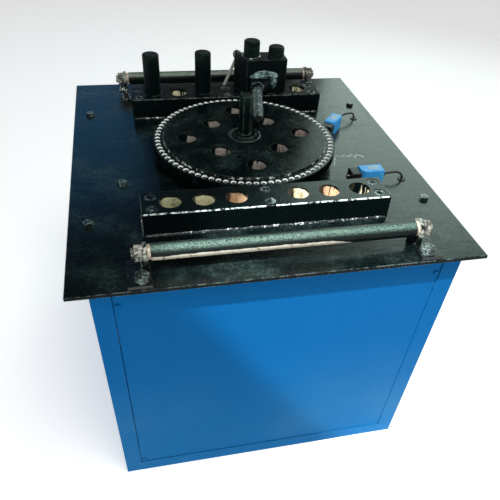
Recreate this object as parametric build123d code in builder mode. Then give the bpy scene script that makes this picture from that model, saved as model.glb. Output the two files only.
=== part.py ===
from build123d import *
import math
import os

os.makedirs("parts", exist_ok=True)

# Rebar bender with a rotating hole disc on a box cabinet. Millimetres, +Z up, X to the
# operator's right, Y away from the operator. The origin is on the floor, under the axis of
# the turntable, which is also the centre of the table plate.

# ---------------------------------------------------------------- driving dimensions
table_width = 850.0
table_depth = 945.0
table_thickness = 8.0
table_top = 690.0
table_under = table_top - table_thickness

cabinet_width = 770.0
cabinet_depth = 902.0
angle_leg = 40.0
angle_wall = 4.0
panel_thickness = 2.0
panel_recess = angle_wall - panel_thickness
panel_gap = 1.5

bar_length = 536.0
bar_depth = 82.0
bar_height = 53.0
bar_row = 270.0
front_bar_x = -4.0
rear_bar_x = 2.0
bar_top = table_top + bar_height

pin_bore = 46.0
running_clearance = 0.05
hole_pitch = 70.0
inner_hole = 67.5

disc_radius = 226.0
disc_under = table_top + 26.0
disc_rim_top = table_top + 48.0
disc_top = table_top + 53.0
plateau_radius = 202.0
hole_grid = 101.5
stop_hole_count = 80
stop_hole_circle = 215.5
stop_hole_radius = 4.2

roller_radius = 16.85
roller_wall = 3.25
roller_y = 412.0
roller_z = table_top + 40.0
roller_half = 267.5
roller_shift_x = 5.0
rod_radius = 10.0

main_shaft_radius = 30.0
gear_module = 6.0
bull_teeth = 51
pinion_teeth = 17
gear_low = 330.0
gear_face = 40.0
gear_backlash = 0.9

beam_height = 76.0
beam_width = 60.0
beam_top = angle_wall + beam_height

gearbox_y = gear_module * (bull_teeth + pinion_teeth) / 2
gearbox_wall = 8.0
worm_centres = 95.0
worm_y = gearbox_y + worm_centres
worm_z = 185.0
belt_x = 175.0
big_pulley_radius = 90.0
small_pulley_radius = 45.0

motor_y = -150.0
motor_z = 185.0
motor_radius = 92.0

bar_hole_offsets = [
    side * (inner_hole + step * hole_pitch) for side in (-1, 1) for step in range(3)
]
front_holes_x = sorted(front_bar_x + offset for offset in bar_hole_offsets)
rear_holes_x = sorted(rear_bar_x + offset for offset in bar_hole_offsets)


def save(part, name):
    """Label a finished part and write it as its own STEP file."""
    part.label = name
    export_step(part, "parts/" + name + ".step")


def hex_flats(across_flats):
    """Circumscribed radius of a hexagon from its width across flats."""
    return across_flats / math.sqrt(3)


# ---------------------------------------------------------------- cabinet frame
half_w = cabinet_width / 2
half_d = cabinet_depth / 2
leg_mid = angle_leg / 2
rail_gap = 1.0


def angle_section(x_sign, y_sign):
    """L section whose heel is at the origin and whose legs point along the two signs."""
    with Locations((x_sign * leg_mid, y_sign * angle_wall / 2)):
        Rectangle(angle_leg, angle_wall)
    with Locations((x_sign * angle_wall / 2, y_sign * leg_mid)):
        Rectangle(angle_wall, angle_leg)


# Four upright angles with the heel on each outer corner, from the bottom rails to the plate.
with BuildPart() as corner_posts:
    for x_side in (-1, 1):
        for y_side in (-1, 1):
            with BuildSketch(Plane.XY.offset(angle_leg)):
                with Locations((x_side * half_w, y_side * half_d)):
                    angle_section(-x_side, -y_side)
            extrude(amount=table_under - angle_leg)
save(corner_posts.part, "corner_posts")


def rail_along_x(y_heel, y_side, z_heel, z_sign, half_length):
    """Angle rail along X whose heel is the outer edge at the given level."""
    plane = Plane(origin=(-half_length, y_heel, z_heel), x_dir=(0, 1, 0), z_dir=(1, 0, 0))
    with BuildSketch(plane) as section:
        angle_section(-y_side, z_sign)
    extrude(section.sketch, amount=2 * half_length)


def rail_along_y(x_side, z_heel, z_sign):
    """Angle rail along Y between the corners, flush with the cabinet's side."""
    half_length = half_d - angle_leg - rail_gap
    plane = Plane(origin=(x_side * half_w, half_length, z_heel), x_dir=(1, 0, 0), z_dir=(0, -1, 0))
    with BuildSketch(plane) as section:
        angle_section(-x_side, z_sign)
    extrude(section.sketch, amount=2 * half_length)


def corner_closure(x_side, y_side):
    """Upright flange of a side rail, carried on over the front or rear rail to close the corner."""
    low = angle_wall + rail_gap
    inner = half_d - angle_leg - rail_gap
    outer = half_d - angle_wall - rail_gap
    x_middle = x_side * (half_w - angle_wall / 2)
    with Locations((x_middle, y_side * (inner + outer) / 2, (low + angle_leg) / 2)):
        Box(angle_wall, outer - inner, angle_leg - low)


# Bottom rails that stand on the floor, with the heel down.
with BuildPart() as bottom_rails:
    for side in (-1, 1):
        rail_along_x(side * half_d, side, 0, 1, half_w)
        rail_along_y(side, 0, 1)
        corner_closure(side, -1)
        corner_closure(side, 1)
save(bottom_rails.part, "bottom_rails")

# Top rails under the plate. The front and rear ones stand behind the sheets, and the side ones are drilled for the two switch leads.
lead_hole = 7.0
lead_front = (366.0, -163.0)
lead_rear = (362.0, 172.0)
top_rail_half = half_w - angle_leg - rail_gap
with BuildPart() as top_rails:
    for side in (-1, 1):
        rail_along_x(side * (half_d - angle_wall), side, table_under, -1, top_rail_half)
        rail_along_y(side, table_under, -1)
    with BuildSketch(Plane.XY.offset(table_under)):
        with Locations(lead_front, lead_rear):
            Circle(lead_hole)
    extrude(amount=-angle_wall, mode=Mode.SUBTRACT)
save(top_rails.part, "top_rails")

# ---------------------------------------------------------------- panels
panel_low = angle_leg + panel_gap
panel_high = table_under - angle_leg - panel_gap
panel_height = panel_high - panel_low
panel_mid_z = (panel_low + panel_high) / 2
front_panel_width = cabinet_width - 2 * (angle_leg + panel_gap)
side_panel_width = cabinet_depth - 2 * (angle_leg + panel_gap)
screw_inset = 8.0
gland_x = 250.0
gland_z = 120.0
gland_hole = 10.0

# Front and rear sheets close the openings between the posts, their backs level with the
# posts' inner faces, from the bottom rail up to the table plate.
end_sheet_high = table_under - 1.0
end_sheet_height = end_sheet_high - panel_low
end_sheet_mid = (panel_low + end_sheet_high) / 2
end_face_y = half_d - panel_recess
end_sheet_y = end_face_y - panel_thickness / 2
with BuildPart() as front_panel:
    with Locations((0, -end_sheet_y, end_sheet_mid)):
        Box(front_panel_width, panel_thickness, end_sheet_height)
save(front_panel.part, "front_panel")

# The rear sheet has three columns of vent slots and the hole of the supply cable's gland.
slot_length = 90.0
slot_height = 6.0
rear_face = Plane(origin=(0, end_face_y, end_sheet_mid), x_dir=(-1, 0, 0), z_dir=(0, 1, 0))
with BuildPart() as rear_panel:
    with Locations((0, end_sheet_y, end_sheet_mid)):
        Box(front_panel_width, panel_thickness, end_sheet_height)
    with BuildSketch(rear_face):
        with GridLocations(2 * slot_length, 4 * slot_height, 3, 5):
            SlotOverall(slot_length, slot_height)
        with Locations((-gland_x, gland_z - end_sheet_mid)):
            Circle(gland_hole)
    extrude(amount=-panel_thickness, mode=Mode.SUBTRACT)
save(rear_panel.part, "rear_panel")

# Side sheets between the posts and the rails.
side_face_x = half_w - panel_recess
with BuildPart() as side_panels:
    for x_side in (-1, 1):
        with Locations((x_side * (side_face_x - panel_thickness / 2), 0, panel_mid_z)):
            Box(panel_thickness, side_panel_width, panel_height)
save(side_panels.part, "side_panels")

# Tabs welded to the posts' inner faces behind the sheets, which take the screws.
tab_length = 60.0
tab_width = 50.0
tab_lap = 16.0
tab_thickness = 3.0
tab_x = half_w - angle_leg + tab_lap - tab_width / 2
tab_y = half_d - angle_leg + tab_lap - tab_width / 2
tab_low = panel_low + tab_length / 2
tab_high = panel_high - tab_length / 2
with BuildPart() as panel_tabs:
    for x_side in (-1, 1):
        for y_side in (-1, 1):
            y_sheet = y_side * (half_d - angle_wall - tab_thickness / 2)
            with Locations((x_side * tab_x, y_sheet, tab_low), (x_side * tab_x, y_sheet, tab_high)):
                Box(tab_width, tab_thickness, tab_length)
            x_sheet = x_side * (half_w - angle_wall - tab_thickness / 2)
            with Locations((x_sheet, y_side * tab_y, tab_low), (x_sheet, y_side * tab_y, tab_high)):
                Box(tab_thickness, tab_width, tab_length)
save(panel_tabs.part, "panel_tabs")

# Pan-head screws at the corners of the sheets.
screw_head = 5.5
screw_head_height = 3.0
screw_x = front_panel_width / 2 - screw_inset
screw_y = side_panel_width / 2 - screw_inset
screw_top = panel_high - 6.5


def pan_screw(plane):
    """Flat screw head standing on a plane."""
    with BuildSketch(plane) as head:
        Circle(screw_head)
    extrude(head.sketch, amount=screw_head_height)


with BuildPart() as panel_screws:
    for x_side in (-1, 1):
        for z_screw in (panel_low + screw_inset, screw_top):
            for y_side in (-1, 1):
                end_place = (x_side * screw_x, y_side * end_face_y, z_screw)
                pan_screw(Plane(origin=end_place, x_dir=(-y_side, 0, 0), z_dir=(0, y_side, 0)))
        for z_screw in (tab_low, tab_high):
            for y_side in (-1, 1):
                side_place = (x_side * side_face_x, y_side * screw_y, z_screw)
                pan_screw(Plane(origin=side_place, x_dir=(0, 1, 0), z_dir=(x_side, 0, 0)))
save(panel_screws.part, "panel_screws")

# ---------------------------------------------------------------- table plate
centre_bore = 75.0
plate_bolts = [(-383.0, 262.0), (-383.0, -254.0), (383.0, 262.0), (383.0, -254.0), (-308.0, -104.0)]
plate_bolt_radius = 6.0

with BuildPart() as table_plate:
    with BuildSketch(Plane.XY.offset(table_under)):
        Rectangle(table_width, table_depth)
        Circle(centre_bore, mode=Mode.SUBTRACT)
        with Locations(lead_front, lead_rear):
            Circle(lead_hole, mode=Mode.SUBTRACT)
        with Locations(plate_bolts):
            Circle(plate_bolt_radius, mode=Mode.SUBTRACT)
    extrude(amount=table_thickness)
    chamfer(table_plate.edges().group_by(Axis.Z)[-1].filter_by(GeomType.LINE), 1.0)
save(table_plate.part, "table_plate")

# Low ring around the plate's bore that keeps scale out of the bearing.
guard_outer = 130.0
guard_height = 14.0
with BuildPart() as guard_ring:
    with BuildSketch(Plane.XY.offset(table_top)):
        Circle(guard_outer)
        Circle(centre_bore, mode=Mode.SUBTRACT)
    extrude(amount=guard_height)
    chamfer(guard_ring.edges().group_by(Axis.Z)[-1].sort_by(SortBy.RADIUS)[-1:], 2.0)
save(guard_ring.part, "guard_ring")

# ---------------------------------------------------------------- hole bars
bar_bolt_x = 247.0
bar_bolt_y = 22.0
bar_bolt_head = 12.0
bar_bolt_sink = 13.0
bar_bolt_shank = 8.0

bar_rows = [("front_bar", -1, front_bar_x, front_holes_x), ("rear_bar", 1, rear_bar_x, rear_holes_x)]
for bar_name, y_side, bar_x, holes_x in bar_rows:
    with BuildPart() as hole_bar:
        with Locations((bar_x, y_side * bar_row, table_top + bar_height / 2)):
            Box(bar_length, bar_depth, bar_height)
        fillet(hole_bar.edges().filter_by(Axis.X).group_by(Axis.Z)[-1], 2.5)
        with BuildSketch(Plane.XY.offset(bar_top)):
            with Locations([(x, y_side * bar_row) for x in holes_x]):
                Circle(pin_bore / 2)
        extrude(amount=-bar_height, mode=Mode.SUBTRACT)
        with Locations((bar_x, y_side * bar_row, bar_top)):
            with GridLocations(bar_bolt_x, 2 * bar_bolt_y, 3, 2):
                CounterBoreHole(bar_bolt_shank, bar_bolt_head + 1.0, bar_bolt_sink, bar_height)
    save(hole_bar.part, bar_name)

# Socket-head bolts sunk into both bars.
socket_flats = 12.0
socket_depth = 7.0
head_low = bar_top - bar_bolt_sink
with BuildPart() as bar_bolts:
    for _, y_side, bar_x, _ in bar_rows:
        with BuildSketch(Plane.XY.offset(head_low)):
            with Locations((bar_x, y_side * bar_row)):
                with GridLocations(bar_bolt_x, 2 * bar_bolt_y, 3, 2):
                    Circle(bar_bolt_head)
        extrude(amount=bar_bolt_sink - 1.0)
        with BuildSketch(Plane.XY.offset(bar_top - 1.0)):
            with Locations((bar_x, y_side * bar_row)):
                with GridLocations(bar_bolt_x, 2 * bar_bolt_y, 3, 2):
                    RegularPolygon(hex_flats(socket_flats), 6)
        extrude(amount=-socket_depth, mode=Mode.SUBTRACT)
        with BuildSketch(Plane.XY.offset(table_top)):
            with Locations((bar_x, y_side * bar_row)):
                with GridLocations(bar_bolt_x, 2 * bar_bolt_y, 3, 2):
                    Circle(bar_bolt_shank)
        extrude(amount=head_low - table_top)
save(bar_bolts.part, "bar_bolts")

# ---------------------------------------------------------------- turntable
disc_holes = []
for step_x in (-1, 0, 1):
    for step_y in (-1, 0, 1):
        turned_x = hole_grid * (step_x - step_y) / math.sqrt(2)
        turned_y = hole_grid * (step_x + step_y) / math.sqrt(2)
        if step_x or step_y:
            disc_holes.append((turned_x, turned_y))
post_hole_depth = 22.0
stop_hole_depth = 12.0
stop_hole_sink = 1.8
jack_holes = [(-34.0, -104.0), (-34.0, 104.0)]
jack_radius = 6.0
jack_depth = 10.0

# Disc with a raised middle, nine pin holes on a square grid turned by 45 degrees, and a
# ring of small countersunk holes in the rim that takes the trip stud for the bend angle.
with BuildPart() as turntable:
    with BuildSketch(Plane.XY.offset(disc_under)):
        Circle(disc_radius)
    extrude(amount=disc_rim_top - disc_under)
    with BuildSketch(Plane.XY.offset(disc_rim_top)):
        Circle(plateau_radius)
    extrude(amount=disc_top - disc_rim_top)
    chamfer(turntable.edges().filter_by(GeomType.CIRCLE).group_by(Axis.Z)[-1], 1.2)
    with BuildSketch(Plane.XY.offset(disc_top)):
        with Locations(disc_holes):
            Circle(pin_bore / 2)
        Circle(pin_bore / 2)
    extrude(amount=disc_under - disc_top, mode=Mode.SUBTRACT)
    with BuildSketch(Plane.XY.offset(disc_top)):
        with Locations(jack_holes):
            Circle(jack_radius)
    extrude(amount=-jack_depth, mode=Mode.SUBTRACT)
    with Locations(Plane.XY.offset(disc_rim_top)):
        with PolarLocations(stop_hole_circle, stop_hole_count):
            CounterSinkHole(stop_hole_radius, stop_hole_radius + stop_hole_sink, stop_hole_depth)
save(turntable.part, "turntable")

# Main shaft: a flange bolted up under the disc and a long journal down to the bull gear.
flange_radius = 72.0
flange_thickness = 12.0
shaft_low = gear_low - 20.0
flange_low = disc_under - flange_thickness
with BuildPart() as main_shaft:
    with BuildSketch(Plane.XY.offset(flange_low)):
        Circle(flange_radius)
    extrude(amount=flange_thickness)
    with BuildSketch(Plane.XY.offset(shaft_low)):
        Circle(main_shaft_radius)
    extrude(amount=flange_low - shaft_low)
save(main_shaft.part, "main_shaft")

# ---------------------------------------------------------------- main bearing
housing_outer = 75.0
housing_bore = 55.0
housing_low = 430.0
housing_flange = 125.0
housing_flange_thickness = 14.0
bearing_height = 24.0
with BuildPart() as bearing_housing:
    with BuildSketch(Plane.XY.offset(housing_low)):
        Circle(housing_outer)
        Circle(housing_bore, mode=Mode.SUBTRACT)
    extrude(amount=table_under - housing_low)
    with BuildSketch(Plane.XY.offset(table_under)):
        Circle(housing_flange)
        Circle(housing_bore, mode=Mode.SUBTRACT)
    extrude(amount=-housing_flange_thickness)
save(bearing_housing.part, "bearing_housing")

# Two ball bearings in the housing, each as one closed ring.
bearing_high = table_under - housing_flange_thickness - bearing_height
bearing_deep = housing_low + 4.0
with BuildPart() as main_bearings:
    for bearing_z in (bearing_high, bearing_deep):
        with BuildSketch(Plane.XY.offset(bearing_z)):
            Circle(housing_bore)
            Circle(main_shaft_radius + running_clearance, mode=Mode.SUBTRACT)
        extrude(amount=bearing_height)
save(main_bearings.part, "main_bearings")

# ---------------------------------------------------------------- spur gears
pressure_angle = math.radians(20.0)


def involute_gear(teeth, turn):
    """Spur gear outline from true involutes, each flank thinned by half the backlash."""
    pitch_radius = gear_module * teeth / 2
    base_radius = pitch_radius * math.cos(pressure_angle)
    tip_radius = pitch_radius + gear_module * 0.95
    root_radius = pitch_radius - gear_module * 1.25
    half_tooth = math.pi / (2 * teeth) - gear_backlash / (4 * pitch_radius)
    pitch_roll = math.tan(pressure_angle) - pressure_angle
    start_radius = max(base_radius, root_radius)
    flank = []
    for step in range(5):
        radius = start_radius + (tip_radius - start_radius) * step / 4
        roll = math.acos(base_radius / radius)
        angle = half_tooth + pitch_roll - (math.tan(roll) - roll)
        flank.append((radius, angle))
    for tooth in range(teeth):
        middle = turn + 2 * math.pi * tooth / teeth
        root = [(root_radius - 1.0, flank[0][1])]
        left = [(r * math.cos(middle + a), r * math.sin(middle + a)) for r, a in root + flank]
        right = [(r * math.cos(middle - a), r * math.sin(middle - a)) for r, a in root + flank]
        with BuildLine() as outline:
            Polyline(left + right[::-1], close=True)
        make_face(outline.edges())
    Circle(root_radius)


gear_high = gear_low + gear_face
bull_lightening = 96.0

# Bull gear on the main shaft, with six lightening holes in its web.
with BuildPart() as bull_gear:
    with BuildSketch(Plane.XY.offset(gear_low)):
        involute_gear(bull_teeth, math.pi / 2)
        Circle(main_shaft_radius, mode=Mode.SUBTRACT)
        with PolarLocations(bull_lightening, 6):
            Circle(24.0, mode=Mode.SUBTRACT)
    extrude(amount=gear_face)
save(bull_gear.part, "bull_gear")

# Vertical output shaft of the gearbox, which carries the pinion above and the worm wheel
# inside the housing.
gearbox_shaft_radius = 20.0
gearbox_shaft_low = worm_z - 60.0
pinion_extra = 4.0
pinion_turn = -math.pi / 2 + math.pi / pinion_teeth
with BuildPart() as gearbox_shaft:
    with BuildSketch(Plane.XY.offset(gearbox_shaft_low)):
        with Locations((0, gearbox_y)):
            Circle(gearbox_shaft_radius)
    extrude(amount=gear_high + 12.0 - gearbox_shaft_low)
save(gearbox_shaft.part, "gearbox_shaft")

with BuildPart() as pinion:
    with BuildSketch(Plane(origin=(0, gearbox_y, gear_low - pinion_extra))):
        involute_gear(pinion_teeth, pinion_turn)
        Circle(gearbox_shaft_radius, mode=Mode.SUBTRACT)
    extrude(amount=gear_face + 2 * pinion_extra)
save(pinion.part, "pinion")

# ---------------------------------------------------------------- worm gearbox
box_half_x = 95.0
box_y_low = gearbox_y - 95.0
box_y_high = worm_y + 42.0
box_low = beam_top
box_high = 280.0
box_foot = 12.0
cover_thickness = 12.0
box_y_mid = (box_y_low + box_y_high) / 2
box_y_size = box_y_high - box_y_low
shaft_bore = gearbox_shaft_radius + running_clearance
worm_shaft_radius = 15.0
worm_bore = worm_shaft_radius + running_clearance

# Cast housing, open upward, with a foot flange and the cross bore of the worm shaft.
with BuildPart() as gearbox_housing:
    with Locations((0, box_y_mid, (box_low + box_high) / 2)):
        Box(2 * box_half_x, box_y_size, box_high - box_low)
    with Locations((0, box_y_mid, box_low + box_foot / 2)):
        Box(2 * box_half_x + 40.0, box_y_size, box_foot)
    with Locations((0, box_y_mid, box_high / 2 + (box_low + box_foot) / 2)):
        cavity_x = 2 * (box_half_x - gearbox_wall)
        Box(cavity_x, box_y_size - 2 * gearbox_wall, box_high - box_low - box_foot, mode=Mode.SUBTRACT)
    with Locations((0, gearbox_y, box_low + box_foot + 14.0)):
        Cylinder(shaft_bore + 12.0, 28.0)
        Cylinder(shaft_bore, 60.0, mode=Mode.SUBTRACT)
    with BuildSketch(Plane(origin=(-box_half_x, worm_y, worm_z), x_dir=(0, 1, 0), z_dir=(1, 0, 0))):
        Circle(worm_bore)
    extrude(amount=2 * box_half_x, mode=Mode.SUBTRACT)
save(gearbox_housing.part, "gearbox_housing")

# Top cover with the seal boss of the output shaft.
with BuildPart() as gearbox_cover:
    with Locations((0, box_y_mid, box_high + cover_thickness / 2)):
        Box(2 * box_half_x, box_y_size, cover_thickness)
    with Locations((0, gearbox_y, box_high + cover_thickness)):
        Cylinder(shaft_bore + 14.0, 16.0)
        Cylinder(shaft_bore, 60.0, mode=Mode.SUBTRACT)
save(gearbox_cover.part, "gearbox_cover")

# Worm wheel, a plain disc up to its tooth crests, a small gap from the worm.
wheel_radius = 70.0
wheel_height = 34.0
worm_radius = 24.0
worm_length = 90.0
with BuildPart() as worm_wheel:
    with BuildSketch(Plane(origin=(0, gearbox_y, worm_z - wheel_height / 2))):
        Circle(wheel_radius)
        Circle(gearbox_shaft_radius, mode=Mode.SUBTRACT)
    extrude(amount=wheel_height)
save(worm_wheel.part, "worm_wheel")

# Worm shaft along X with the worm body and the end that carries the driven pulley.
worm_shaft_end = belt_x + 28.0
with BuildPart() as worm_shaft:
    with BuildSketch(Plane(origin=(-box_half_x, worm_y, worm_z), x_dir=(0, 1, 0), z_dir=(1, 0, 0))):
        Circle(worm_shaft_radius)
    extrude(amount=box_half_x + worm_shaft_end)
    with BuildSketch(Plane(origin=(-worm_length / 2, worm_y, worm_z), x_dir=(0, 1, 0), z_dir=(1, 0, 0))):
        Circle(worm_radius)
    extrude(amount=worm_length)
save(worm_shaft.part, "worm_shaft")

# ---------------------------------------------------------------- pulleys and belts
groove_pitch = 16.0
groove_depth = 10.0
pulley_width = 2 * groove_pitch + 6.0


def grooved_pulley(outer, bore, axis_y, axis_z):
    """Pulley with two V grooves, turned about an axis along X."""
    half_groove = 6.5
    profile_plane = Plane(origin=(belt_x, axis_y, axis_z), x_dir=(1, 0, 0), z_dir=(0, -1, 0))
    with BuildSketch(profile_plane) as profile:
        with Locations((0, (outer + bore) / 2)):
            Rectangle(pulley_width, outer - bore)
        for side in (-1, 1):
            middle = side * groove_pitch / 2
            with BuildLine():
                Polyline(
                    (middle - half_groove, outer),
                    (middle + half_groove, outer),
                    (middle + half_groove - 3.0, outer - groove_depth),
                    (middle - half_groove + 3.0, outer - groove_depth),
                    close=True,
                )
            make_face(mode=Mode.SUBTRACT)
    revolve(profile.sketch, axis=Axis((0, axis_y, axis_z), (1, 0, 0)))


with BuildPart() as driven_pulley:
    grooved_pulley(big_pulley_radius, worm_shaft_radius, worm_y, worm_z)
save(driven_pulley.part, "driven_pulley")

motor_shaft_radius = 14.0
with BuildPart() as motor_pulley:
    grooved_pulley(small_pulley_radius, motor_shaft_radius, motor_y, motor_z)
save(motor_pulley.part, "motor_pulley")

# Two V-belts, each a closed loop around both pulleys with a little air in the grooves.
belt_width = 8.0
belt_thickness = 7.0
belt_air = 3.0
span = math.hypot(worm_y - motor_y, worm_z - motor_z)
wrap = math.asin((big_pulley_radius - small_pulley_radius) / span)


def belt_outline(shrink):
    """Filled outline of the belt run around both pulleys, in the plane of the belt."""
    big = big_pulley_radius - groove_depth + belt_air + belt_thickness - shrink
    small = small_pulley_radius - groove_depth + belt_air + belt_thickness - shrink
    up_big = (worm_y - big * math.sin(wrap), worm_z + big * math.cos(wrap))
    up_small = (motor_y - small * math.sin(wrap), motor_z + small * math.cos(wrap))
    down_big = (up_big[0], 2 * worm_z - up_big[1])
    down_small = (up_small[0], 2 * motor_z - up_small[1])
    with BuildLine() as outline:
        Line(up_small, up_big)
        ThreePointArc(up_big, (worm_y + big, worm_z), down_big)
        Line(down_big, down_small)
        ThreePointArc(down_small, (motor_y - small, motor_z), up_small)
    make_face(outline.edges())


with BuildPart() as drive_belts:
    for side in (-1, 1):
        belt_plane_x = belt_x + side * groove_pitch / 2 - belt_width / 2
        with BuildSketch(Plane(origin=(belt_plane_x, 0, 0), x_dir=(0, 1, 0), z_dir=(1, 0, 0))):
            belt_outline(0.0)
        extrude(amount=belt_width)
        with BuildSketch(Plane(origin=(belt_plane_x, 0, 0), x_dir=(0, 1, 0), z_dir=(1, 0, 0))):
            belt_outline(belt_thickness)
        extrude(amount=belt_width, mode=Mode.SUBTRACT)
save(drive_belts.part, "drive_belts")

# ---------------------------------------------------------------- motor
motor_half = 130.0
motor_body_x = -40.0
motor_base = (190.0, 170.0, 12.0)
motor_web_width = 60.0
motor_rib = (12.0, 3.0)
motor_rib_count = 24
motor_shaft_end = belt_x + 24.0
casing_plane = Plane(
    origin=(motor_body_x - motor_half, motor_y, motor_z), x_dir=(0, 1, 0), z_dir=(1, 0, 0)
)
casing_bore = motor_shaft_radius + 0.5

# Ribbed stator casing lying along X on a web and a foot plate.
with BuildPart() as motor_casing:
    with BuildSketch(casing_plane):
        Circle(motor_radius - 8.0)
        with PolarLocations(motor_radius - 6.0, motor_rib_count):
            Rectangle(*motor_rib)
    extrude(amount=2 * motor_half)
    with Locations((motor_body_x, motor_y, (beam_top + motor_z) / 2)):
        Box(motor_base[0], motor_web_width, motor_z - beam_top)
    with Locations((motor_body_x, motor_y, beam_top + motor_base[2] / 2)):
        Box(*motor_base)
    with BuildSketch(casing_plane):
        Circle(casing_bore)
    extrude(amount=2 * motor_half, mode=Mode.SUBTRACT)
save(motor_casing.part, "motor_casing")

# Fan cowl behind the motor.
cowl_length = 46.0
cowl_plane = Plane(origin=casing_plane.origin, x_dir=(0, 1, 0), z_dir=(-1, 0, 0))
with BuildPart() as fan_cowl:
    with BuildSketch(cowl_plane):
        Circle(motor_radius - 6.0)
    extrude(amount=cowl_length)
    with BuildSketch(cowl_plane):
        Circle(motor_radius - 10.0)
    extrude(amount=cowl_length - 3.0, mode=Mode.SUBTRACT)
    with BuildSketch(cowl_plane.offset(cowl_length)):
        with PolarLocations(48.0, 12):
            Rectangle(40.0, 6.0)
    extrude(amount=-3.0, mode=Mode.SUBTRACT)
save(fan_cowl.part, "fan_cowl")

# Motor shaft, with the cooling fan as its own piece.
rotor_low = motor_body_x - motor_half - 30.0
with BuildPart() as motor_shaft:
    with BuildSketch(Plane(origin=(rotor_low, motor_y, motor_z), x_dir=(0, 1, 0), z_dir=(1, 0, 0))):
        Circle(motor_shaft_radius)
    extrude(amount=motor_shaft_end - rotor_low)
save(motor_shaft.part, "motor_shaft")

with BuildPart() as motor_fan:
    with BuildSketch(Plane(origin=(rotor_low, motor_y, motor_z), x_dir=(0, 1, 0), z_dir=(1, 0, 0))):
        Circle(26.0)
        with PolarLocations(48.0, 8):
            Rectangle(52.0, 3.0)
        Circle(motor_shaft_radius, mode=Mode.SUBTRACT)
    extrude(amount=22.0)
save(motor_fan.part, "motor_fan")

# ---------------------------------------------------------------- machine beams
beam_half = half_w - angle_wall
beam_mid_z = angle_wall + beam_height / 2
beam_rows = [motor_y - 60.0, motor_y + 60.0, box_y_low + 35.0, box_y_high - 35.0]
with BuildPart() as machine_beams:
    for beam_y in beam_rows:
        with Locations((0, beam_y, beam_mid_z)):
            Box(2 * beam_half, beam_width, beam_height)
save(machine_beams.part, "machine_beams")

# ---------------------------------------------------------------- electrical box
control_size = (80.0, 220.0, 170.0)
control_x = -half_w + angle_wall + control_size[0] / 2
with BuildPart() as control_box:
    with Locations((control_x, 0, 470.0)):
        Box(*control_size)
    fillet(control_box.edges().filter_by(Axis.X), 6.0)
save(control_box.part, "control_box")

# Compression gland for the supply cable in the rear sheet.
gland_flats = 27.0
gland_plane = Plane(origin=(gland_x, end_face_y, gland_z), x_dir=(-1, 0, 0), z_dir=(0, 1, 0))
with BuildPart() as supply_gland:
    with BuildSketch(gland_plane.offset(-panel_thickness - 8.0)):
        Circle(gland_hole)
    extrude(amount=panel_thickness + 8.0)
    with BuildSketch(gland_plane):
        RegularPolygon(hex_flats(gland_flats), 6)
    extrude(amount=8.0)
    with BuildSketch(gland_plane.offset(8.0)):
        Circle(12.0)
    extrude(amount=12.0)
    fillet(supply_gland.edges().group_by(Axis.Y)[-1], 3.0)
    with BuildSketch(gland_plane.offset(20.0)):
        Circle(6.5)
    extrude(amount=-24.0, mode=Mode.SUBTRACT)
save(supply_gland.part, "supply_gland")

# ---------------------------------------------------------------- bar-support rollers
lug_thickness = 8.0
lug_width = 40.0
washer_thickness = 6.0
nut_flats = 30.0
nut_height = 16.0
lug_in = roller_half + 0.5 + washer_thickness
rod_end = lug_in + lug_thickness + nut_height + 6.0
foot_bolt_forward = 40.0
foot_bolt_x = lug_in + 14.0

bush_length = 24.0
spacer_radius = 15.0
foot_size = (46.0, 76.0, 8.0)
foot_middle_x = lug_in + 19.0
foot_middle_out = 20.0
foot_bolt_flats = 27.0
foot_bolt_head = 13.0


def roller_axis(y_side):
    """Plane across the roller of one side, at the middle of its length."""
    shift = roller_shift_x if y_side < 0 else 0.0
    origin = (shift, y_side * roller_y, roller_z)
    return Plane(origin=origin, x_dir=(0, 1, 0), z_dir=(1, 0, 0))


for row_name, y_side in (("front", -1), ("rear", 1)):
    # Steel tube that turns freely on the rod.
    with BuildPart() as roller_tube:
        with BuildSketch(roller_axis(y_side).offset(-roller_half)):
            Circle(roller_radius)
            Circle(roller_radius - roller_wall, mode=Mode.SUBTRACT)
        extrude(amount=2 * roller_half)
    save(roller_tube.part, row_name + "_roller_tube")

    # End bushes pressed into the tube.
    with BuildPart() as roller_bushes:
        for bush_start in (-roller_half, roller_half - bush_length):
            with BuildSketch(roller_axis(y_side).offset(bush_start)):
                Circle(roller_radius - roller_wall)
                Circle(rod_radius + running_clearance, mode=Mode.SUBTRACT)
            extrude(amount=bush_length)
    save(roller_bushes.part, row_name + "_roller_bushes")

# Fixed rods through the lugs.
with BuildPart() as roller_rods:
    for y_side in (-1, 1):
        with BuildSketch(roller_axis(y_side).offset(-rod_end)):
            Circle(rod_radius)
        extrude(amount=2 * rod_end)
save(roller_rods.part, "roller_rods")

# Spacer rings between the tubes and the lugs.
with BuildPart() as roller_spacers:
    for y_side in (-1, 1):
        for spacer_start in (-lug_in, lug_in - washer_thickness):
            with BuildSketch(roller_axis(y_side).offset(spacer_start)):
                Circle(spacer_radius)
                Circle(rod_radius, mode=Mode.SUBTRACT)
            extrude(amount=washer_thickness)
save(roller_spacers.part, "roller_spacers")

# Upright lugs with rounded tops. The front ones stand on bolted feet, the rear ones are
# welded straight to the plate.
with BuildPart() as roller_lugs:
    for y_side in (-1, 1):
        row = roller_axis(y_side)
        for x_side in (-1, 1):
            lug_start = lug_in if x_side > 0 else -lug_in - lug_thickness
            with BuildSketch(row.offset(lug_start)):
                Circle(lug_width / 2)
                with Locations((0, -(roller_z - table_top) / 2)):
                    Rectangle(lug_width, roller_z - table_top)
                Circle(rod_radius, mode=Mode.SUBTRACT)
            extrude(amount=lug_thickness)
            if y_side < 0:
                foot_x = row.origin.X + x_side * foot_middle_x
                foot_y = -roller_y - foot_middle_out
                with Locations((foot_x, foot_y, table_top + foot_size[2] / 2)):
                    Box(*foot_size)
save(roller_lugs.part, "roller_lugs")

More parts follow.
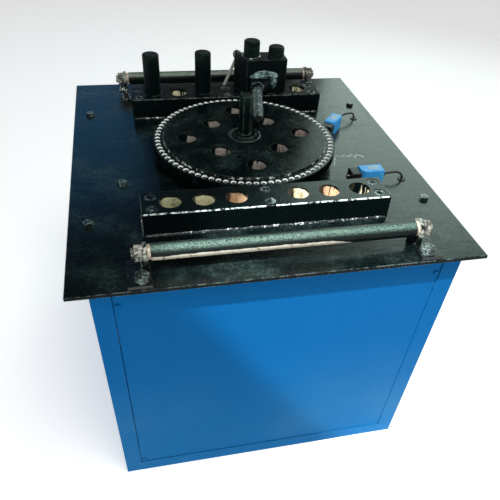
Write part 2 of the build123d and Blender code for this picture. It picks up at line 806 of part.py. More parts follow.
# Hexagon nuts on the rods' ends.
with BuildPart() as roller_nuts:
    for y_side in (-1, 1):
        for nut_start in (-lug_in - lug_thickness - nut_height, lug_in + lug_thickness):
            with BuildSketch(roller_axis(y_side).offset(nut_start)):
                RegularPolygon(hex_flats(nut_flats), 6, rotation=30)
                Circle(rod_radius, mode=Mode.SUBTRACT)
            extrude(amount=nut_height)
save(roller_nuts.part, "roller_nuts")

# Hexagon bolts of the table: those through the plate, with a short stretch of shank, and the
# heads on the feet of the front lugs.
plate_bolt_flats = 19.0
plate_bolt_head = 7.5
with BuildPart() as table_bolts:
    with BuildSketch(Plane.XY.offset(table_top)):
        with Locations(plate_bolts):
            RegularPolygon(hex_flats(plate_bolt_flats), 6)
    extrude(amount=plate_bolt_head)
    with BuildSketch(Plane.XY.offset(table_under)):
        with Locations(plate_bolts):
            Circle(plate_bolt_radius)
    extrude(amount=table_thickness)
    for x_side in (-1, 1):
        bolt_x = roller_shift_x + x_side * foot_bolt_x
        bolt_y = -roller_y - foot_bolt_forward
        with BuildSketch(Plane((bolt_x, bolt_y, table_top + foot_size[2]))):
            RegularPolygon(hex_flats(foot_bolt_flats), 6, rotation=15)
        extrude(amount=foot_bolt_head)
    chamfer(table_bolts.edges().group_by(Axis.Z)[-1], 1.2)
save(table_bolts.part, "table_bolts")

# ---------------------------------------------------------------- pins
shank_radius = pin_bore / 2 - running_clearance
pin_radius = 22.0
pin_crown = 4.0


def round_pin(x, y, low, shank_top, top, crown):
    """Plain pin: a fitted shank in the hole and a slightly slimmer body above it."""
    with BuildSketch(Plane.XY.offset(low)) as shank:
        with Locations((x, y)):
            Circle(shank_radius)
    extrude(shank.sketch, amount=shank_top - low)
    with BuildSketch(Plane.XY.offset(shank_top)) as above:
        with Locations((x, y)):
            Circle(pin_radius)
    body = extrude(above.sketch, amount=top - shank_top)
    fillet(body.edges().group_by(Axis.Z)[-1], crown)


outer_pin_top = table_top + 158.0
second_pin_top = table_top + 160.0
with BuildPart() as rear_pin_outer:
    round_pin(rear_holes_x[0], bar_row, table_top, bar_top, outer_pin_top, pin_crown)
save(rear_pin_outer.part, "rear_pin_outer")

with BuildPart() as rear_pin_second:
    round_pin(rear_holes_x[2], bar_row, table_top, bar_top, second_pin_top, pin_crown)
save(rear_pin_second.part, "rear_pin_second")

# Centre post: fitted shank, round shoulder and hexagon bar.
post_flats = 29.0
post_top = table_top + 155.0
shoulder_radius = 30.0
shoulder_height = 7.0
with BuildPart() as centre_post:
    with BuildSketch(Plane.XY.offset(disc_top - post_hole_depth)):
        Circle(shank_radius)
    extrude(amount=post_hole_depth)
    with BuildSketch(Plane.XY.offset(disc_top)):
        Circle(shoulder_radius)
    shoulder = extrude(amount=shoulder_height)
    chamfer(shoulder.edges().group_by(Axis.Z)[-1], 3.0)
    with BuildSketch(Plane.XY.offset(disc_top + shoulder_height)):
        RegularPolygon(hex_flats(post_flats), 6)
    post_bar = extrude(amount=post_top - disc_top - shoulder_height)
    chamfer(post_bar.edges().group_by(Axis.Z)[-1], 1.5)
save(centre_post.part, "centre_post")

# ---------------------------------------------------------------- adjustable stop
stop_left_half = 52.5
stop_right_half = 61.5
stop_depth = 62.0
stop_height = 94.0
stop_left_reach = 27.0
stop_x = (rear_holes_x[3] + rear_holes_x[4]) / 2
stop_front = bar_row - stop_depth / 2
stop_rear = bar_row + stop_depth / 2
stop_top = bar_top + stop_height
screw_radius = 11.0
screw_turn = 11.5
screw_offset = 16.0
screw_z = table_top + 85.0
screw_direction = Vector(math.sin(math.radians(screw_turn)), math.cos(math.radians(screw_turn)), 0)
screw_origin = Vector(stop_x - screw_offset, bar_row, screw_z)
screw_front = -257.5
screw_rear = -30.0
bore_end = -28.5
screw_plane = Plane(origin=screw_origin, x_dir=screw_direction.cross(Vector(0, 0, 1)), z_dir=screw_direction)
boss_length = 38.0
clamp_x = stop_x - 62.0
clamp_z = table_top + 128.0
clamp_radius = 7.0

# Block on the rear bar. Its left end is cut back to a slant in plan, the front carries a
# tapered boss with the blind bore of the adjusting screw, which ends in front of the pins.
with BuildPart() as stop_block:
    with BuildSketch(Plane.XY.offset(bar_top)):
        with BuildLine():
            Polyline(
                (stop_x - stop_left_half, stop_front),
                (stop_x + stop_right_half, stop_front),
                (stop_x + stop_right_half, stop_rear),
                (stop_x - stop_left_half - stop_left_reach, stop_rear),
                close=True,
            )
        make_face()
    extrude(amount=stop_height)
    fillet(stop_block.edges().filter_by(Axis.Z), 4.0)
    fillet(stop_block.edges().group_by(Axis.Z)[-1], 3.0)
    boss_root = Plane(origin=(stop_x, stop_front + 6.0, screw_z), x_dir=(1, 0, 0), z_dir=(0, -1, 0))
    with BuildSketch(boss_root):
        with Locations((0, 2.0)):
            RectangleRounded(76.0, 46.0, 8.0)
    with BuildSketch(screw_plane.offset(stop_front - bar_row - boss_length)):
        Circle(17.0)
    loft()
    with BuildSketch(screw_plane.offset(bore_end)):
        Circle(screw_radius + running_clearance)
    extrude(amount=-2 * stop_depth, mode=Mode.SUBTRACT)
    with BuildSketch(Plane.XY.offset(bar_top)):
        with Locations((rear_holes_x[3], bar_row), (rear_holes_x[4], bar_row)):
            Circle(pin_radius)
    extrude(amount=stop_height, mode=Mode.SUBTRACT)
save(stop_block.part, "stop_block")

# The block's two pins, which stand in the rear bar.
tall_pin_top = table_top + 188.0
short_pin_top = table_top + 172.0
short_pin_crown = 6.0
with BuildPart() as stop_pins:
    round_pin(rear_holes_x[3], bar_row, table_top, bar_top, tall_pin_top, pin_crown)
    round_pin(rear_holes_x[4], bar_row, table_top, bar_top, short_pin_top, short_pin_crown)
save(stop_pins.part, "stop_pins")

# Adjusting screw in the boss.
with BuildPart() as adjusting_screw:
    with BuildSketch(screw_plane.offset(screw_front)):
        Circle(screw_radius)
    extrude(amount=screw_rear - screw_front)
    chamfer(adjusting_screw.edges().group_by(Axis.Y)[0], 2.0)
save(adjusting_screw.part, "adjusting_screw")

# Clamp stud at the block's rear left corner.
clamp_neck = 20.0
clamp_head = 20.0
clamp_head_radius = 12.0
tommy_down = 92.0
tommy_length = 106.0
clamp_plane = Plane(origin=(clamp_x, stop_rear, clamp_z), x_dir=(-1, 0, 0), z_dir=(0, 1, 0))
tommy_lean = math.radians(66.0)
tommy_axis = Vector(math.cos(tommy_lean), 0, math.sin(tommy_lean))
tommy_middle = Vector(clamp_x, stop_rear + clamp_neck + clamp_head / 2, clamp_z)
tommy_plane = Plane(origin=tommy_middle, x_dir=(0, 1, 0), z_dir=tommy_axis)
tommy_radius = 4.5
with BuildPart() as clamp_stud:
    with BuildSketch(clamp_plane):
        Circle(clamp_radius)
    extrude(amount=clamp_neck)
    with BuildSketch(clamp_plane.offset(clamp_neck)):
        Circle(clamp_head_radius)
    extrude(amount=clamp_head)
    with BuildSketch(tommy_plane):
        Circle(tommy_radius)
    extrude(amount=2 * clamp_head_radius, both=True, mode=Mode.SUBTRACT)
save(clamp_stud.part, "clamp_stud")

# Its tommy bar, slid to the low side.
with BuildPart() as tommy_bar:
    with BuildSketch(tommy_plane.offset(-tommy_down)):
        Circle(tommy_radius)
    extrude(amount=tommy_length)
save(tommy_bar.part, "tommy_bar")

# ---------------------------------------------------------------- limit switches
switch_length = 58.0
switch_width = 30.0
switch_height = 36.0
switch_cut = 10.0
head_length = 24.0
head_height = 32.0
plunger_radius = 4.0
plunger_play = 0.3
plunger_out = 8.0
plunger_in = 14.0
plunger_travel = 6.0
plunger_z = 18.0
lead_radius = 2.5
lead_z = 19.0
lead_gland_radius = 6.0
lead_gland_reach = 8.0
switches = {
    "front": (279.0, -162.0, 0.0, lead_front),
    "rear": (273.0, 108.0, 50.0, lead_rear),
}


def switch_frame(name):
    """Plane on the table under a switch, its X axis pointing from the plunger to the lead."""
    x, y, turn, _ = switches[name]
    along = (math.cos(math.radians(turn)), math.sin(math.radians(turn)), 0)
    return Plane(origin=(x, y, table_top), x_dir=along, z_dir=(0, 0, 1))


def plunger_frame(name):
    """Plane on the face of a switch's head, looking out along its plunger."""
    base = switch_frame(name)
    face = base.from_local_coords((-switch_length / 2 - head_length, 0, plunger_z))
    return Plane(origin=face, x_dir=(0, 0, 1), z_dir=-base.x_dir)


def tail_frame(name):
    """Plane on the tail of a switch's body, where its lead comes out."""
    base = switch_frame(name)
    tail = base.from_local_coords((switch_length / 2, 0, lead_z))
    return Plane(origin=tail, x_dir=(0, 0, 1), z_dir=base.x_dir)


# Bodies, each with one corner at the head end cut off.
half_length = switch_length / 2
half_width = switch_width / 2
with BuildPart() as switch_bodies:
    for name in switches:
        with BuildSketch(switch_frame(name)):
            with BuildLine():
                Polyline(
                    (-half_length, switch_cut - half_width),
                    (switch_cut - half_length, -half_width),
                    (half_length, -half_width),
                    (half_length, half_width),
                    (-half_length, half_width),
                    close=True,
                )
            make_face()
        extrude(amount=switch_height)
    chamfer(switch_bodies.edges().group_by(Axis.Z)[-1], 1.5)
save(switch_bodies.part, "switch_bodies")

# Plunger heads, each bored for its plunger.
with BuildPart() as switch_heads:
    for name in switches:
        with BuildSketch(switch_frame(name)):
            with Locations((-half_length - head_length / 2, 0)):
                Rectangle(head_length, switch_width)
        extrude(amount=head_height)
    chamfer(switch_heads.edges().group_by(Axis.Z)[-1], 2.0)
    for name in switches:
        with BuildSketch(plunger_frame(name)):
            Circle(plunger_radius + plunger_play)
        extrude(amount=-plunger_in - plunger_travel, mode=Mode.SUBTRACT)
save(switch_heads.part, "switch_heads")

# Plungers with rounded tips.
for name in switches:
    face = plunger_frame(name)
    with BuildPart() as plunger:
        with BuildSketch(face.offset(-plunger_in)):
            Circle(plunger_radius)
        extrude(amount=plunger_in + plunger_out)
        outward = Axis(face.origin, face.z_dir)
        fillet(plunger.edges().filter_by(GeomType.CIRCLE).sort_by(outward)[-1:], 2.5)
    save(plunger.part, name + "_switch_plunger")

# Glands on the tails of the bodies.
with BuildPart() as switch_glands:
    for name in switches:
        with BuildSketch(tail_frame(name)):
            Circle(lead_gland_radius)
        extrude(amount=lead_gland_reach)
save(switch_glands.part, "switch_glands")

# Leads: out of the gland, over in a low arch and down through the table. The arch rises and
# falls in equal reaches, and the two steeper runs after it turn the lead down into the hole.
lead_out = 12.0
lead_rise = math.radians(10.0)
lead_fall = math.radians(8.0)
lead_turns = [(10.0, math.radians(35.0)), (9.0, math.radians(62.0))]
lead_end = table_under - 6.0
arc_share = 0.45


def lead_points(name):
    """Corner points of a lead's route."""
    tail = tail_frame(name)
    hole_x, hole_y = switches[name][3]
    start = tail.origin + tail.z_dir * lead_gland_reach
    points = [start, start + tail.z_dir * lead_out]
    over = Vector(hole_x, hole_y, start.Z) - points[1]
    turn_reach = sum(run * math.cos(slope) for run, slope in lead_turns)
    arch = (over.length - turn_reach) / 2
    steps = [(arch, arch * math.tan(lead_rise)), (arch, -arch * math.tan(lead_fall))]
    steps += [(run * math.cos(slope), -run * math.sin(slope)) for run, slope in lead_turns]
    for reach, climb in steps:
        points.append(points[-1] + over.normalized() * reach + Vector(0, 0, climb))
    return points + [Vector(hole_x, hole_y, lead_end)]


def arc_radii(points):
    """Radius at each corner that lets its arc take its share of the shorter run beside it."""
    radii = []
    for before, corner, after in zip(points, points[1:], points[2:]):
        run_in = corner - before
        run_out = after - corner
        half_turn = math.radians(run_in.get_angle(run_out)) / 2
        radii.append(arc_share * min(run_in.length, run_out.length) / math.tan(half_turn))
    return radii


for name in switches:
    points = lead_points(name)
    radii = arc_radii(points)
    with BuildPart() as switch_lead:
        with BuildLine() as lead_path:
            FilletPolyline(*points, radius=radii)
        with BuildSketch(Plane(origin=points[0], z_dir=tail_frame(name).z_dir)):
            Circle(lead_radius)
        sweep()
    save(switch_lead.part, name + "_switch_lead")
    path_length = sum(edge.length for edge in lead_path.edges())
    section_share = switch_lead.part.volume / (math.pi * lead_radius**2 * path_length)
    print(name, "lead radii", [round(radius, 1) for radius in radii])
    print(name, "lead length", round(path_length, 1), "volume ratio", round(section_share, 3))

# Rubber grommets where the two leads go through the table.
grommet_lip = 3.0
grommet_rise = 2.0
with BuildPart() as lead_grommets:
    with BuildSketch(Plane.XY.offset(table_under)):
        with Locations(lead_front, lead_rear):
            Circle(lead_hole)
    extrude(amount=table_thickness)
    with BuildSketch(Plane.XY.offset(table_top)):
        with Locations(lead_front, lead_rear):
            Circle(lead_hole + grommet_lip)
    extrude(amount=grommet_rise)
    with BuildSketch(Plane.XY.offset(table_under)):
        with Locations(lead_front, lead_rear):
            Circle(lead_radius)
    extrude(amount=table_thickness + grommet_rise, mode=Mode.SUBTRACT)
save(lead_grommets.part, "lead_grommets")
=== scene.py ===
import math
import random

import bpy
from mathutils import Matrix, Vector, noise


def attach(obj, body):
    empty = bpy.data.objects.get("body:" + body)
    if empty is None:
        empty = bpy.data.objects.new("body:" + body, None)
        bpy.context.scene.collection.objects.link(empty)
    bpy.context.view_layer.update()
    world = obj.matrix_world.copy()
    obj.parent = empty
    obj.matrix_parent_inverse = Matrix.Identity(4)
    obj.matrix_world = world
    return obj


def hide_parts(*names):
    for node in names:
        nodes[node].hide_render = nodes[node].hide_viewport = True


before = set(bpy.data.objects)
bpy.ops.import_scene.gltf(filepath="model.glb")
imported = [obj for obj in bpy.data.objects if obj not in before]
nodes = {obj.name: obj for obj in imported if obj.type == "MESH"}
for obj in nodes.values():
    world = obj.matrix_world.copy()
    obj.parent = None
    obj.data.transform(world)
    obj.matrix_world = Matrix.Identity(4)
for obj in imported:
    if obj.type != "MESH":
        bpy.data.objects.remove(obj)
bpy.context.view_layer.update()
scene = bpy.context.scene

# ---------------------------------------------------------------- camera
CAMERA_PLACE = (-0.2692, -1.1850, 1.3496)
CAMERA_TURN = (45.794, -3.029, -11.910)
camera_data = bpy.data.cameras.new("camera")
camera_data.sensor_width = 36.0
camera_data.lens = 37.34
camera_data.shift_y = 0.1006
camera = bpy.data.objects.new("camera", camera_data)
camera.location = CAMERA_PLACE
camera.rotation_euler = [math.radians(a) for a in CAMERA_TURN]
scene.collection.objects.link(camera)
scene.camera = camera
scene.view_settings.view_transform = "Standard"

# ---------------------------------------------------------------- the machine's main sizes, in metres
TABLE = 0.690
BAR_TOP = 0.743
DISC_TOP = 0.743
RIM_TOP = 0.738
PIN_HOLE = 0.023

# The two bars: rows at -BAR_ROW and BAR_ROW, each bar's middle a little off the table's.
BAR_ROW = 0.270
BAR_HALF_DEPTH = 0.041
FRONT_MIDDLE, REAR_MIDDLE = -0.004, 0.002
FRONT_HOLES = [-0.2115, -0.1415, -0.0715, 0.0635, 0.1335, 0.2035]
REAR_HOLES = [x + 0.006 for x in FRONT_HOLES]
BOLT_GRID = [(x, y) for x in (-0.247, 0.0, 0.247) for y in (-0.022, 0.022)]
FRONT_BOLTS = [(FRONT_MIDDLE + x, y - BAR_ROW) for x, y in BOLT_GRID]
REAR_BOLTS = [(REAR_MIDDLE + x, y + BAR_ROW) for x, y in BOLT_GRID]

# The disc: pin holes on a square grid, small stop holes and a painted highlight line near the rim, along the
# edge of its raised top.
DISC_GRID = 0.1015
STOP_HOLES, STOP_CIRCLE, STOP_HOLE = 80, 0.2155, 0.0065
RIM_LINE = 0.2020

ROLLER_Y, ROLLER_Z, ROLLER = 0.412, 0.730, 0.01685
STOP_X, STOP_FRONT, STOP_TOP = 0.1045, 0.239, 0.837


# ---------------------------------------------------------------- material helpers
class Shader:
    """A principled material with short calls for the nodes that feed it."""

    def __init__(self, name, metallic=0.0, coat=0.0, coat_roughness=0.1):
        self.material = bpy.data.materials.new(name)
        self.material.use_nodes = True
        self.tree = self.material.node_tree
        self.bsdf = self.tree.nodes["Principled BSDF"]
        self.bsdf.inputs["Metallic"].default_value = metallic
        self.bsdf.inputs["Coat Weight"].default_value = coat
        self.bsdf.inputs["Coat Roughness"].default_value = coat_roughness
        self.place = self.add("ShaderNodeTexCoord").outputs["Object"]

    def add(self, kind, **settings):
        node = self.tree.nodes.new(kind)
        for key, value in settings.items():
            setattr(node, key, value)
        return node

    def feed(self, socket, value):
        if isinstance(value, bpy.types.NodeSocket):
            self.tree.links.new(value, socket)
        else:
            socket.default_value = value

    def scaled(self, scale):
        node = self.add("ShaderNodeMapping")
        self.feed(node.inputs["Vector"], self.place)
        node.inputs["Scale"].default_value = scale
        return node.outputs["Vector"]

    def noise(self, size, detail=4.0, rough=0.55, stretch=(1, 1, 1), distortion=0.0):
        node = self.add("ShaderNodeTexNoise")
        self.feed(node.inputs["Vector"], self.scaled(stretch))
        node.inputs["Scale"].default_value = size
        node.inputs["Detail"].default_value = detail
        node.inputs["Roughness"].default_value = rough
        node.inputs["Distortion"].default_value = distortion
        return node.outputs["Fac"]

    def math(self, operation, a, b=0.0, clamp=False):
        node = self.add("ShaderNodeMath", operation=operation, use_clamp=clamp)
        self.feed(node.inputs[0], a)
        self.feed(node.inputs[1], b)
        return node.outputs[0]

    def times(self, first, *others):
        """Product of two or more values."""
        for value in others:
            first = self.math("MULTIPLY", first, value)
        return first

    def less(self, a, b):
        return self.math("SUBTRACT", a, b)

    def step(self, value, low, high):
        """0 below low, 1 above high, and the other way round if low is above high."""
        node = self.add("ShaderNodeMapRange", clamp=True, interpolation_type="SMOOTHSTEP")
        self.feed(node.inputs["Value"], value)
        if low < high:
            limits = (low, high, 0.0, 1.0)
        else:
            limits = (high, low, 1.0, 0.0)
        for key, limit in zip(("From Min", "From Max", "To Min", "To Max"), limits):
            node.inputs[key].default_value = limit
        return node.outputs["Result"]

    def blend(self, factor, a, b):
        """Colour a, or colour b where factor is 1."""
        node = self.add("ShaderNodeMix", data_type="RGBA")
        self.feed(node.inputs[0], factor)
        for socket, value in ((node.inputs[6], a), (node.inputs[7], b)):
            self.feed(socket, value if isinstance(value, bpy.types.NodeSocket) else (*value, 1.0))
        return node.outputs[2]

    def between(self, factor, a, b):
        """Number a, or number b where factor is 1."""
        node = self.add("ShaderNodeMix", data_type="FLOAT")
        self.feed(node.inputs[0], factor)
        self.feed(node.inputs[2], a)
        self.feed(node.inputs[3], b)
        return node.outputs[0]

    def axis(self, name):
        """One coordinate of the point, in the object's own frame."""
        node = self.add("ShaderNodeSeparateXYZ")
        self.feed(node.inputs[0], self.place)
        return node.outputs[name]

    def facing(self, name):
        """One component of the surface's own normal."""
        node = self.add("ShaderNodeSeparateXYZ")
        self.feed(node.inputs[0], self.add("ShaderNodeTexCoord").outputs["Normal"])
        return node.outputs[name]

    def edges(self, radius):
        """1 on sharp edges, 0 on faces."""
        bevel = self.add("ShaderNodeBevel", samples=4)
        bevel.inputs["Radius"].default_value = radius
        dot = self.add("ShaderNodeVectorMath", operation="DOT_PRODUCT")
        self.feed(dot.inputs[0], bevel.outputs["Normal"])
        self.feed(dot.inputs[1], self.add("ShaderNodeNewGeometry").outputs["Normal"])
        return self.step(dot.outputs["Value"], 0.99, 0.86)

    def near(self, centres):
        """Distance in plan from the nearest of some points."""
        flat = self.scaled((1, 1, 0))
        best = None
        for x, y in centres:
            node = self.add("ShaderNodeVectorMath", operation="DISTANCE")
            self.feed(node.inputs[0], flat)
            node.inputs[1].default_value = (x, y, 0)
            value = node.outputs["Value"]
            best = value if best is None else self.math("MINIMUM", best, value)
        return best

    def bump(self, *layers, round_edges=0.0):
        """Chain of bumps, each (height, metres)."""
        normal = None
        if round_edges:
            bevel = self.add("ShaderNodeBevel", samples=4)
            bevel.inputs["Radius"].default_value = round_edges
            normal = bevel.outputs["Normal"]
        for height, distance in layers:
            node = self.add("ShaderNodeBump")
            node.inputs["Strength"].default_value = 1.0
            node.inputs["Distance"].default_value = distance
            self.feed(node.inputs["Height"], height)
            if normal is not None:
                self.feed(node.inputs["Normal"], normal)
            normal = node.outputs["Normal"]
        self.feed(self.bsdf.inputs["Normal"], normal)

    def finish(self, colour, roughness, metallic=None, specular=0.5):
        self.feed(self.bsdf.inputs["Base Color"], colour)
        self.feed(self.bsdf.inputs["Roughness"], roughness)
        if metallic is not None:
            self.feed(self.bsdf.inputs["Metallic"], metallic)
        self.feed(self.bsdf.inputs["Specular IOR Level"], specular)
        return self.material


BLACK = (0.0015, 0.0042, 0.0045)
BLACK_WORN = (0.016, 0.026, 0.024)
FILM = (0.042, 0.076, 0.068)
BARE = (0.55, 0.49, 0.40)
RUST = (0.16, 0.075, 0.035)
CREAM = (0.95, 0.90, 0.60)
OLIVE = (0.70, 0.70, 0.44)
TAN = (0.80, 0.55, 0.33)
ASH = (0.50, 0.44, 0.39)
DUST = (0.13, 0.17, 0.16)
# Painted highlights: on the front bar's edges, along the bars' upper front edges and bolt heads, on the
# disc's stop-hole cones (unpainted steel made brighter) and along its rim line.
EDGE_GLINT = (0.74, 0.84, 0.80)
LIP_GLINT = (0.80, 0.95, 0.90)
CONE_GLINT = (0.80, 0.86, 0.84)
ROLLER_STEEL, ROLLER_PITS = (0.62, 0.58, 0.48), (0.22, 0.17, 0.12)
# Colour of the painted sheen on the pins' upper part.
PIN_SHEEN = (0.014, 0.034, 0.026)
BLUE_DEEP, BLUE = (0.002, 0.091, 0.262), (0.003, 0.113, 0.335)
BLUE_GRIME, BLUE_LOW_LIGHT = (0.02, 0.13, 0.24), (0.03, 0.27, 0.52)
BLUE_LOW_CLOUD, BLUE_EDGE = (0.09, 0.26, 0.38), (0.20, 0.40, 0.58)


def black_enamel(name, brush=(1, 1, 1), bare_and_highlight=None, wear_and_glint=0.5, gloss=0.20, lumps=0.00035, dust=0.45,
                 edge_colour=(0.20, 0.20, 0.18), edge_width=0.0016, film=0.0, specular=0.30, coat=0.12,
                 upright=None, rims=None):
    """Brushed-on black enamel. An optional mask function lays a colour over the paint: unpainted steel where
    it shows, and on some parts painted highlights. film gives a cloudy grey haze of dried dust and grease,
    upright the duller specular of upright faces, and rims a mask that says which edges get the edge colour:
    worn paint, on some parts a painted highlight."""
    s = Shader(name, coat=coat, coat_roughness=0.10)
    broad = s.noise(5.0, 5.0, 0.6, brush)
    fine = s.noise(90.0, 6.0, 0.65, brush)
    grit = s.noise(420.0, 3.0, 0.6)
    grey = s.times(s.step(s.noise(26.0, 7.0, 0.7), 0.50, 0.74), dust)
    colour = s.blend(s.times(broad, grey), BLACK, BLACK_WORN)
    speck = s.times(s.step(s.noise(330.0, 2.0, 0.5), 0.68, 0.76), dust)
    colour = s.blend(speck, colour, DUST)
    rough = s.between(s.step(fine, 0.35, 0.75), gloss, gloss + 0.16)
    if film:
        specks = s.between(s.step(s.noise(130.0, 5.0, 0.7), 0.44, 0.58), 0.35, 1.0)
        clouds = s.times(s.step(s.noise(9.0, 6.0, 0.62), 0.46, 0.70), s.times(specks, film))
        clouds = s.times(clouds, s.step(s.facing("Z"), 0.3, 0.7))
        colour = s.blend(clouds, colour, FILM)
        rough = s.math("ADD", rough, s.times(clouds, 0.30))
    # Edge colour along the edges: worn paint, and on the plate, front bar, pins and stop block a painted
    # highlight.
    edge = s.times(s.edges(edge_width), s.step(s.noise(48.0, 5.0, 0.7), 0.44, 0.56), wear_and_glint)
    if rims is not None:
        edge = s.times(edge, rims(s))
    colour = s.blend(edge, colour, edge_colour)
    rough = s.between(edge, rough, 0.40)
    metal = s.times(edge, 0.2)
    if bare_and_highlight is not None:
        mask, steel, shine = bare_and_highlight(s)
        colour = s.blend(mask, colour, steel)
        rough = s.between(mask, rough, 0.50)
        metal = s.between(mask, metal, shine)
    s.bump((broad, 0.0010), (fine, lumps), (grit, 0.00006), round_edges=0.0012)
    if upright is not None:
        specular = s.between(s.step(s.math("ABSOLUTE", s.facing("Z")), 0.3, 0.7), upright, specular)
    return s.finish(colour, rough, metal, specular=specular)


def hole_walls(centres, z_top, reach, tones, dim_from=None):
    """Walls of upright pin holes: pale unpainted steel on their right and back, shown there as painted
    light, with the left side kept dark as painted shade; rust and dark runs. The tones change with X, each
    from its own start. Holes right of the middle show less of the pale wall if dim_from is given, and those
    right of dim_from hardly any."""
    def bare_and_highlight(s):
        inside = s.step(s.near(centres), PIN_HOLE + 0.0009, PIN_HOLE + 0.0003)
        top = s.between(s.noise(45.0, 3.0, 0.6), z_top + 0.002, z_top - 0.012)
        below = s.step(s.less(top, s.axis("Z")), -0.001, 0.002)
        runs = s.step(s.noise(60.0, 3.0, 0.6, (1, 1, 0.12)), 0.38, 0.44)
        uneven = s.times(s.less(s.noise(11.0, 2.0, 0.5), 0.5), 2.0)
        if dim_from is not None:
            uneven = s.less(uneven, s.times(s.step(s.axis("X"), 0.0, 0.01), 0.45))
            uneven = s.less(uneven, s.times(s.step(s.axis("X"), dim_from, dim_from + 0.01), 1.1))
        # Painted light: the pale wall shows only where the wall faces away from +X, the side the light falls
        # on; the other side stays dark as painted shade.
        lit_side = s.step(s.less(s.facing("X"), uneven), reach + 0.12, reach - 0.12)
        mask = s.times(s.times(inside, below), s.times(runs, lit_side))
        hue = s.math("ADD", s.axis("X"), s.times(s.less(s.noise(90.0, 2.0, 0.5), 0.5), 0.08))
        tone = tones[0][1]
        for start, following in tones[1:]:
            tone = s.blend(s.step(hue, start - 0.006, start + 0.006), tone, following)
        # Random rust smudges on the walls.
        shade = s.times(s.step(s.noise(55.0, 5.0, 0.65), 0.48, 0.70), 0.7)
        tone = s.blend(shade, tone, RUST)
        return mask, tone, 0.0
    return bare_and_highlight


# The tones of the bars' hole walls, each with the X at which it starts; the first has no start.
BAR_TONES = [(None, OLIVE), (-0.176, CREAM), (-0.106, TAN), (0.0, CREAM), (0.099, TAN), (0.169, CREAM)]


def bar_bare_and_glints(centres, bolts, y_front, lip, reach, dim_from=None):
    """A bar's hole walls, a painted highlight as a broken bright line along its upper front edge, and
    painted wet glints on its bolt heads.
    """
    def bare_and_highlight(s):
        walls, tone, _ = hole_walls(centres, BAR_TOP, reach, BAR_TONES, dim_from)(s)
        # Painted highlight: a broken bright line along the bar's upper front edge.
        level = s.step(s.axis("Z"), BAR_TOP - 0.0030, BAR_TOP - 0.0020)
        front = s.step(s.axis("Y"), y_front + 0.0026, y_front + 0.0016)
        dashes = s.step(s.noise(70.0, 5.0, 0.75), 0.44, 0.54)
        glint = s.times(s.times(level, front), s.times(dashes, lip))
        # Painted highlight: wet glints on the paint over the bolt heads.
        heads = s.step(s.near(bolts), 0.0135, 0.0115)
        bolt_glints = s.times(heads, s.step(s.noise(150.0, 4.0, 0.7), 0.44, 0.56), 0.22)
        glint = s.math("MAXIMUM", glint, bolt_glints)
        tone = s.blend(s.step(glint, 0.0, 0.05), tone, LIP_GLINT)
        return s.math("MAXIMUM", walls, glint), tone, 0.0
    return bare_and_highlight


def bar_rims(x_middle, y_middle):
    """Only a bar's own edges get the edge colour (worn paint, and on the front bar a painted highlight), not
    those of its holes.
    """
    def rims(s):
        ends = s.step(s.math("ABSOLUTE", s.less(s.axis("X"), x_middle)), 0.2625, 0.2645)
        sides = s.step(s.math("ABSOLUTE", s.less(s.axis("Y"), y_middle)), 0.0365, 0.0385)
        return s.math("MAXIMUM", ends, sides)
    return rims


disc_holes = []
for step_x in (-1, 0, 1):
    for step_y in (-1, 0, 1):
        x, y = step_x - step_y, step_x + step_y
        disc_holes.append((DISC_GRID * x / math.sqrt(2), DISC_GRID * y / math.sqrt(2)))


def disc_bare_and_glints(s):
    """Walls of the disc's pin holes, the cones of its small stop holes in unpainted steel made brighter as a
    painted highlight, and a painted highlight line along the edge of its raised top.
    """
    walls, tone, _ = hole_walls(disc_holes, DISC_TOP, 0.10, [(None, ASH)])(s)
    x, y = s.axis("X"), s.axis("Y")
    radius = s.math("SQRT", s.math("ADD", s.times(x, x), s.times(y, y)))
    pitch = 2 * math.pi / STOP_HOLES
    turns = s.math("DIVIDE", s.math("ARCTAN2", y, x), pitch)
    off = s.less(turns, s.math("ROUND", turns))
    across = s.times(off, pitch * STOP_CIRCLE)
    along = s.less(radius, STOP_CIRCLE)
    away = s.math("SQRT", s.math("ADD", s.times(across, across), s.times(along, along)))
    # The stop holes' cones: unpainted steel, made brighter as a painted highlight.
    cone = s.step(away, STOP_HOLE + 0.0003, STOP_HOLE - 0.0003)
    deep = s.step(s.axis("Z"), RIM_TOP - 0.0030, RIM_TOP - 0.0020)
    low = s.step(s.axis("Z"), RIM_TOP + 0.002, RIM_TOP + 0.001)
    cone = s.times(s.times(cone, deep), low)
    cone = s.times(cone, s.step(s.noise(160.0, 3.0, 0.6), 0.30, 0.42))
    # Painted highlight: a broken bright line round the edge of the raised top.
    line = s.step(s.math("ABSOLUTE", s.less(radius, RIM_LINE)), 0.0012, 0.0005)
    line = s.times(line, s.step(s.noise(70.0, 5.0, 0.7), 0.52, 0.60))
    bright = s.math("MAXIMUM", cone, line)
    tone = s.blend(bright, tone, CONE_GLINT)
    return s.math("MAXIMUM", walls, bright), tone, s.times(bright, 0.35)


